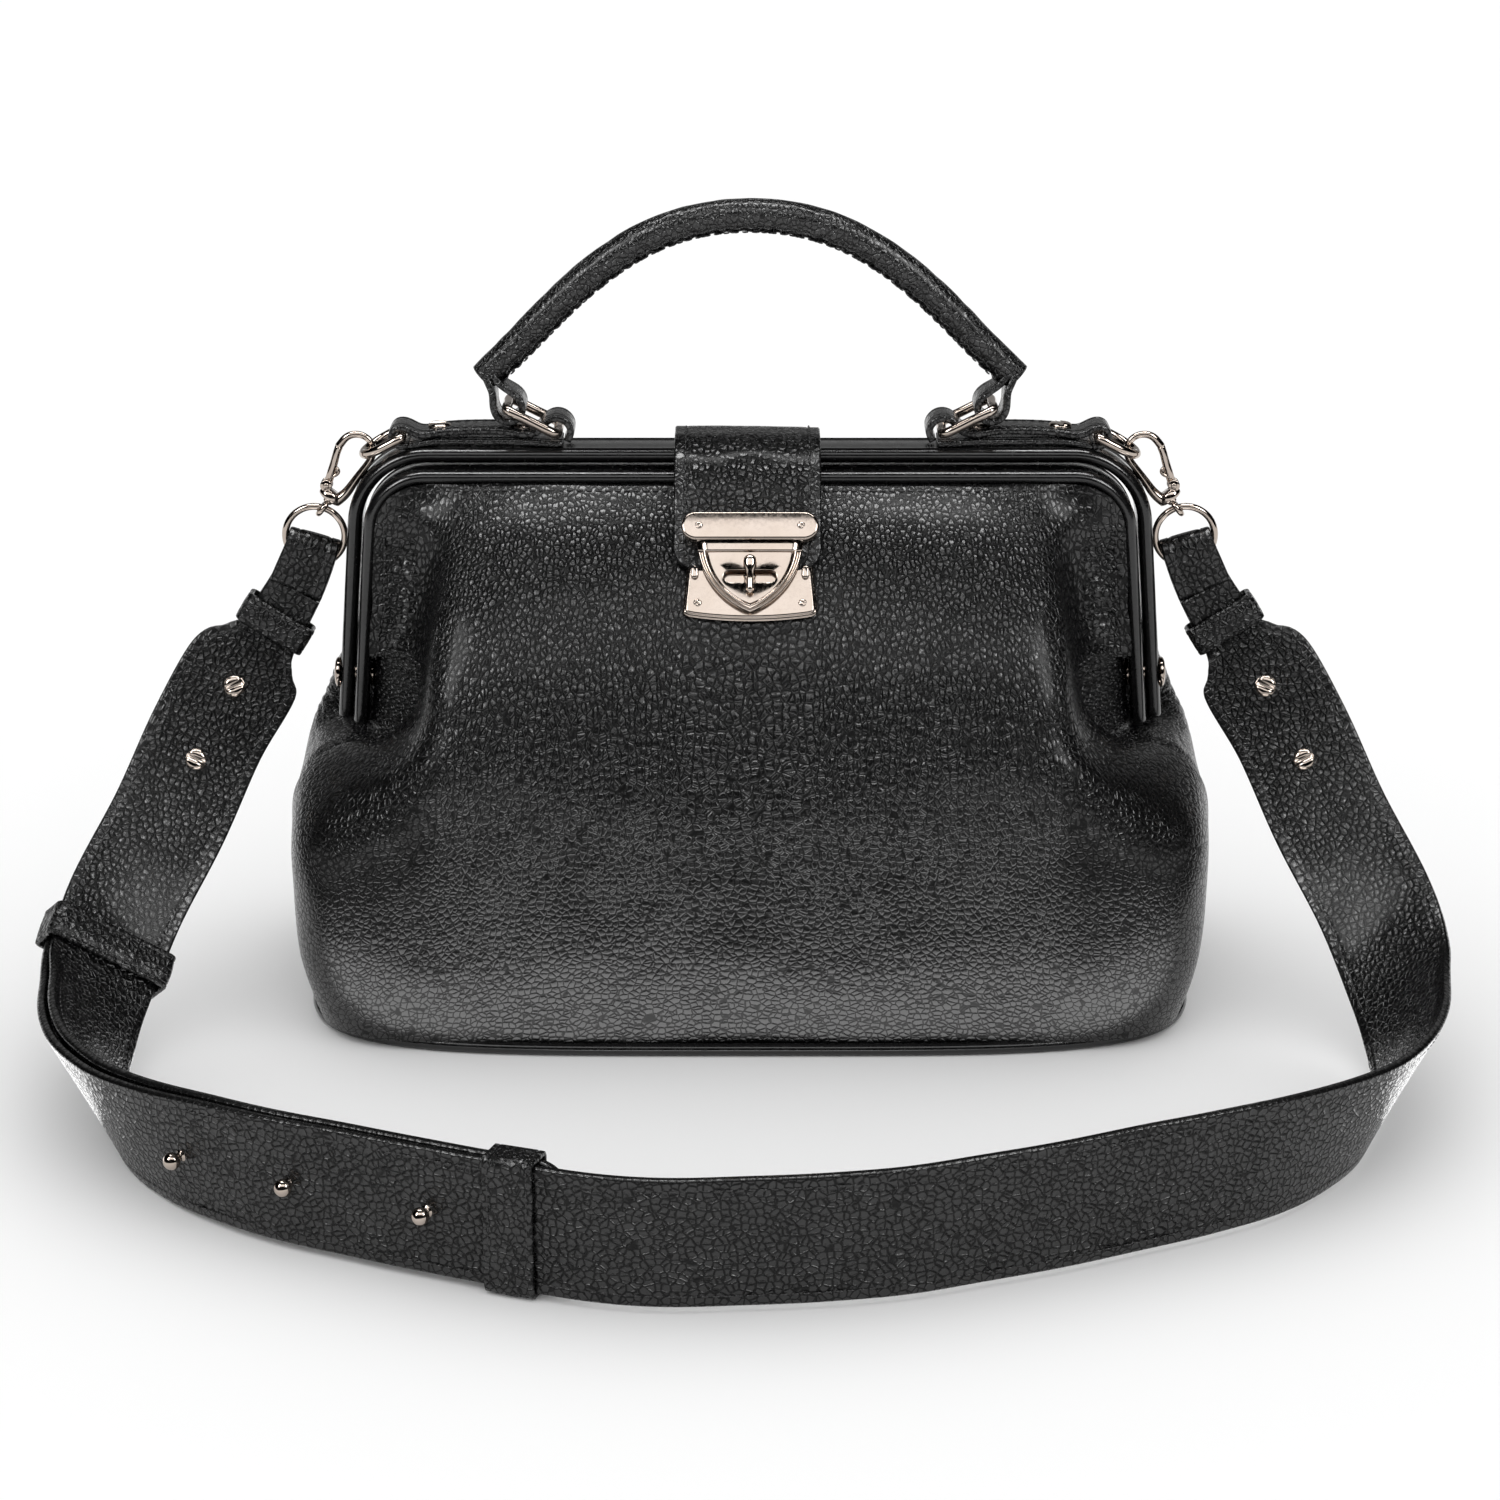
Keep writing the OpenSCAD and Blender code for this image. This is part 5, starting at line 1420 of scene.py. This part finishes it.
def strap_piece(name, routes, node, side):
    """A strap with soft unevenness and fine grain towards its edges."""
    pile = Pile()
    for route in routes:
        c, t, w, f = place(route)
        prof = strap_profiles(route)
        m = prof.shape[1]
        soft = hash_noise(np.repeat(c, m, 0) / 22.0, 61) - 0.5
        v, faces = sweep(c, w, f, prof)
        v = v + np.repeat(f, m, 0) * (soft * 0.9)[:, None]
        grain = np.stack([np.repeat(lengths(c), m) / 2.5, prof[..., 0].ravel() / 2.1,
                          prof[..., 1].ravel() / 3], 1)
        from_edge = np.repeat(route[:, 6] / 2, m) - np.abs(prof[..., 0].ravel())
        grip = np.interp(from_edge, [0, 1.0, 3.0, 5], [0.1, 0.35, 0.5, 1.0])
        pile.add(*sided(v, faces, side), grain=grain, grip=grip)
    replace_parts(pile.done(name, STRAP, "strap_leather", "strap"), node)


def strap_stitches(route, side, inset=3.2):
    """A row near both edges, on both faces."""
    c, t, w, f = place(route)
    for sx in (-1, 1):
        for sf in (-1, 1):
            path = c + w * (sx * (route[:, 6:7] / 2 - inset)) + f * (sf * 1.30)
            nrm = f * sf
            if side < 0:
                path, nrm = mirror(path), mirror(nrm)
            stitch_line(STITCH["strap"], path, nrm, 3.1, 0.3, lift=-0.05)


def straps():
    """Both pieces, their folded ends and their stitches."""
    step = 2.4 / FINE
    short = rounded_end(dense(catmull(SHORT, STEPS), step), 12.0, False)
    long = rounded_end(dense(catmull(LONG, STEPS), step), 3.0, True)
    fold = dense(catmull(fold_route(), 6), step)
    strap_piece("strap_short_leather", [short, fold], "strap_short", 1)
    strap_stitches(short[3:-4], 1)
    strap_stitches(fold, 1, 3.0)
    strap_piece("strap_long_leather", [long], "strap_long", 1)
    strap_stitches(long[3:-3], 1)
    strap_piece("strap_long_fold", [fold], "strap_long", -1)
    strap_stitches(fold, -1, 3.0)


straps()


# The short route's rows at the CAD's own spacing, which fittings are placed on
CAD_ROWS = catmull(SHORT, CAD_STEPS)


def at_row(i):
    """Centre and axes of the strap at a CAD row."""
    t, w, f = route_axes(CAD_ROWS)
    return CAD_ROWS[i, :3], t[i], w[i], f[i]


def keeper(name, node, row, w, low, high, along, off=0.0, side=1):
    """A leather band round the strap's layers, from low to high through them."""
    c, t, wd, f = at_row(row)
    c = c + t * off
    mid = (low + high) / 2
    outline = round_rect(w + 1.5, high - low + 1.5, 1.5, 5)
    outline = np.concatenate([outline, outline[:1]])
    loop = resample(outline, 0.9)[:-1]
    m = len(loop)
    tan = unit(np.roll(loop, -1, 0) - np.roll(loop, 1, 0))
    nrm = np.column_stack([tan[:, 1], -tan[:, 0]])
    hl = along / 2
    edge = [(0, -0.5), (0, 0.3), (0.3, 0.75), (1.2, 0.78), (1.7, 0.6), (2.2, 0.8)]
    cross = ([(-hl + a, b) for a, b in edge] + [(0, 0.92)] + [(hl - a, b) for a, b in edge[::-1]]
             + [(hl - 0.4, -0.75), (0, -0.78), (-hl + 0.4, -0.75)])
    verts = np.zeros((m, len(cross), 3))
    for k, (a, b) in enumerate(cross):
        p2 = loop + nrm * b
        bulge = 0.35 * (hash_noise(np.column_stack([loop / 5, np.full(m, a / 3)]), 71) - 0.5)
        p2 = p2 + nrm * bulge[:, None]
        verts[:, k] = c + wd * p2[:, :1] + f * (p2[:, 1:] + mid) + t * a
    flat = verts.reshape(-1, 3)
    faces = grid_faces(m + 1, len(cross), wrap=True) % (m * len(cross))
    flat, faces = sided(flat, faces.tolist(), side)
    obj = new(name, flat, faces, STRAP, "strap",
              extra={"grain": flat / 2.1, "grip": np.full(len(flat), 0.75)})
    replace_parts(obj, node)
    loop, nrm = np.concatenate([loop, loop[:1]]), np.concatenate([nrm, nrm[:1]])
    for a in (-hl + 1.7, hl - 1.7):
        p2 = loop + nrm * 0.72
        path = c + wd * p2[:, :1] + f * (p2[:, 1:] + mid) + t * a
        nn = wd * nrm[:, :1] + f * nrm[:, 1:]
        if side < 0:
            path, nn = mirror(path), mirror(nn)
        stitch_line(STITCH["strap"], path, nn, 3.0, 0.28, lift=-0.04)


ROWS = len(CAD_ROWS)
for name, side in (("l", 1), ("r", -1)):
    keeper("end_keeper_" + name, "keeper_end_" + name, 3, NARROW + 1.4, -2.3, 6.4, 9.5, -3.5, side)
keeper("side_keeper", "keeper_side", 20, WIDE + 1.6, -3.3, 7, 12)
keeper("front_keeper", "keeper_front", ROWS - 3, WIDE + 0.4, -2.4, 6, 15)


def fittings():
    """Screw heads on both faces of the folded ends, and the ball studs in the overlap."""
    for side, s in (("l", 1), ("r", -1)):
        pile = Pile()
        for k, i in enumerate((10, 13)):
            c, t, w, f = at_row(i)
            for sign, lift in ((-1, 1.45), (1, LAYER + 1.75)):
                at = c + f * sign * lift
                ax = (t, w, f * sign)
                if s < 0:
                    at, ax = mirror(at), tuple(mirror(q) for q in ax)
                screw_head(pile, at, *ax, 3.4, 0.95, 0.6 + k)
        obj = pile.done("strap_screw_heads_" + side, NICKEL, "nickel", "strap")
        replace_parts(obj, "strap_screws_" + side)
    pile = Pile()
    for k in (4, 7, 10):
        c, t, w, f = at_row(ROWS - 1 - k)
        # collar, neck and ball: heights above the strap's middle, and radii
        zs = vec(4.5, 4.9, 5.3, 5.7, 6.0, 6.5, 7.0, 7.6, 8.4, 9.2, 10.0, 10.8, 11.3, 11.55)
        rr = vec(2.3, 2.3, 2.1, 1.3, 1.15, 1.2, 1.7, 2.25, 2.6, 2.65, 2.4, 1.75, 1.0, 0.15)
        path = c + f * zs[:, None]
        prof = rr[:, None, None] * circle(1, 24)[None]
        pile.add(*sweep(path, t, w, prof))
        screw_head(pile, c - f * 1.45, t, w, -f, 3.4, 0.8, 0.4 * k)
    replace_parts(pile.done("stud_balls", NICKEL, "nickel", "strap"), "ball_studs")


fittings()

for body, pile in STITCH.items():
    if pile.count:
        obj = pile.done("stitches_" + body, THREAD, "edge_leather")
        if body == "front_frame":
            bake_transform(obj)
        else:
            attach(obj, body)

# ---- finishes of the CAD nodes that stay -----------------------------------
KEPT = {"lining": LINING, "base_board": BOARD, "handle_core": BOARD, "back_hoop_core": STEEL,
        "front_hoop_core": STEEL, "lock_backing": STEEL, "hinge_washers": NICKEL}
for name, material in KEPT.items():
    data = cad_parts[name].data
    data.materials.clear()
    data.materials.append(material)

# ---- floor, light and camera -----------------------------------------------
paper = Nodes("floor").finish(Base_Color=tint((0.93, 0.93, 0.93)), Roughness=0.9,
                              Specular_IOR_Level=0.05)
mesh = bpy.data.meshes.new("floor")
corners = [(x, y, -0.0002) for x, y in ((-9, -9), (9, -9), (9, 9), (-9, 9))]
mesh.from_pydata(corners, [], [(0, 1, 2, 3)])
mesh.materials.append(paper)
floor = bpy.data.objects.new("floor", mesh)
bpy.context.scene.collection.objects.link(floor)

world = bpy.data.worlds.new("studio")
bpy.context.scene.world = world
world.use_nodes = True
even_light = world.node_tree.nodes["Background"]
even_light.inputs["Color"].default_value = (1, 1, 1, 1)
even_light.inputs["Strength"].default_value = 1.12
world.cycles_visibility.glossy = False
bpy.context.scene.view_settings.view_transform = "Standard"


def aim(obj, at, look):
    """Puts obj at a point with its back to local Z and its front towards look."""
    d = unit(vec(*look) - vec(*at))
    z = -d
    x = unit(np.cross(vec(0, 0, 1), z))
    y = np.cross(z, x)
    obj.matrix_world = Matrix([[x[0], y[0], z[0], at[0]], [x[1], y[1], z[1], at[1]],
                               [x[2], y[2], z[2], at[2]], [0, 0, 0, 1]])


def light(name, at, look, size, power):
    """A soft box that only shows in reflections."""
    data = bpy.data.lights.new(name, "AREA")
    data.shape = "RECTANGLE"
    data.size, data.size_y = size
    data.energy = power
    obj = bpy.data.objects.new(name, data)
    bpy.context.scene.collection.objects.link(obj)
    aim(obj, at, look)
    obj.visible_diffuse = False
    obj.visible_camera = False


light("left box", (-0.85, -0.75, 1.0), (0, 0, 0.1), (0.4, 0.6), 8)
light("right box", (0.85, -0.75, 1.0), (0, 0, 0.1), (0.4, 0.6), 8)
light("front box", (0, -1.0, 1.25), (0, 0, 0.1), (1.2, 0.6), 4.2)
light("backdrop", (0, 2.5, 0.8), (0, 0, 0.1), (4, 1.6), 6)
light("top box", (0, 0.1, 1.4), (0, 0, 0.1), (1.3, 0.2), 12)
light("floor bounce", (0, -0.105, 0.002), (0, -0.11, 1), (0.6, 0.06), 0.28)

cam = bpy.data.cameras.new("camera")
cam.sensor_width = 36           # mm
cam.lens = 92                   # mm
cam_obj = bpy.data.objects.new("camera", cam)
bpy.context.scene.collection.objects.link(cam_obj)
cam_obj.location = (0, -1.2, 0.478)
cam_obj.rotation_euler = (math.radians(90 - 18.44), 0, 0)
bpy.context.scene.camera = cam_obj

bpy.context.view_layer.update()
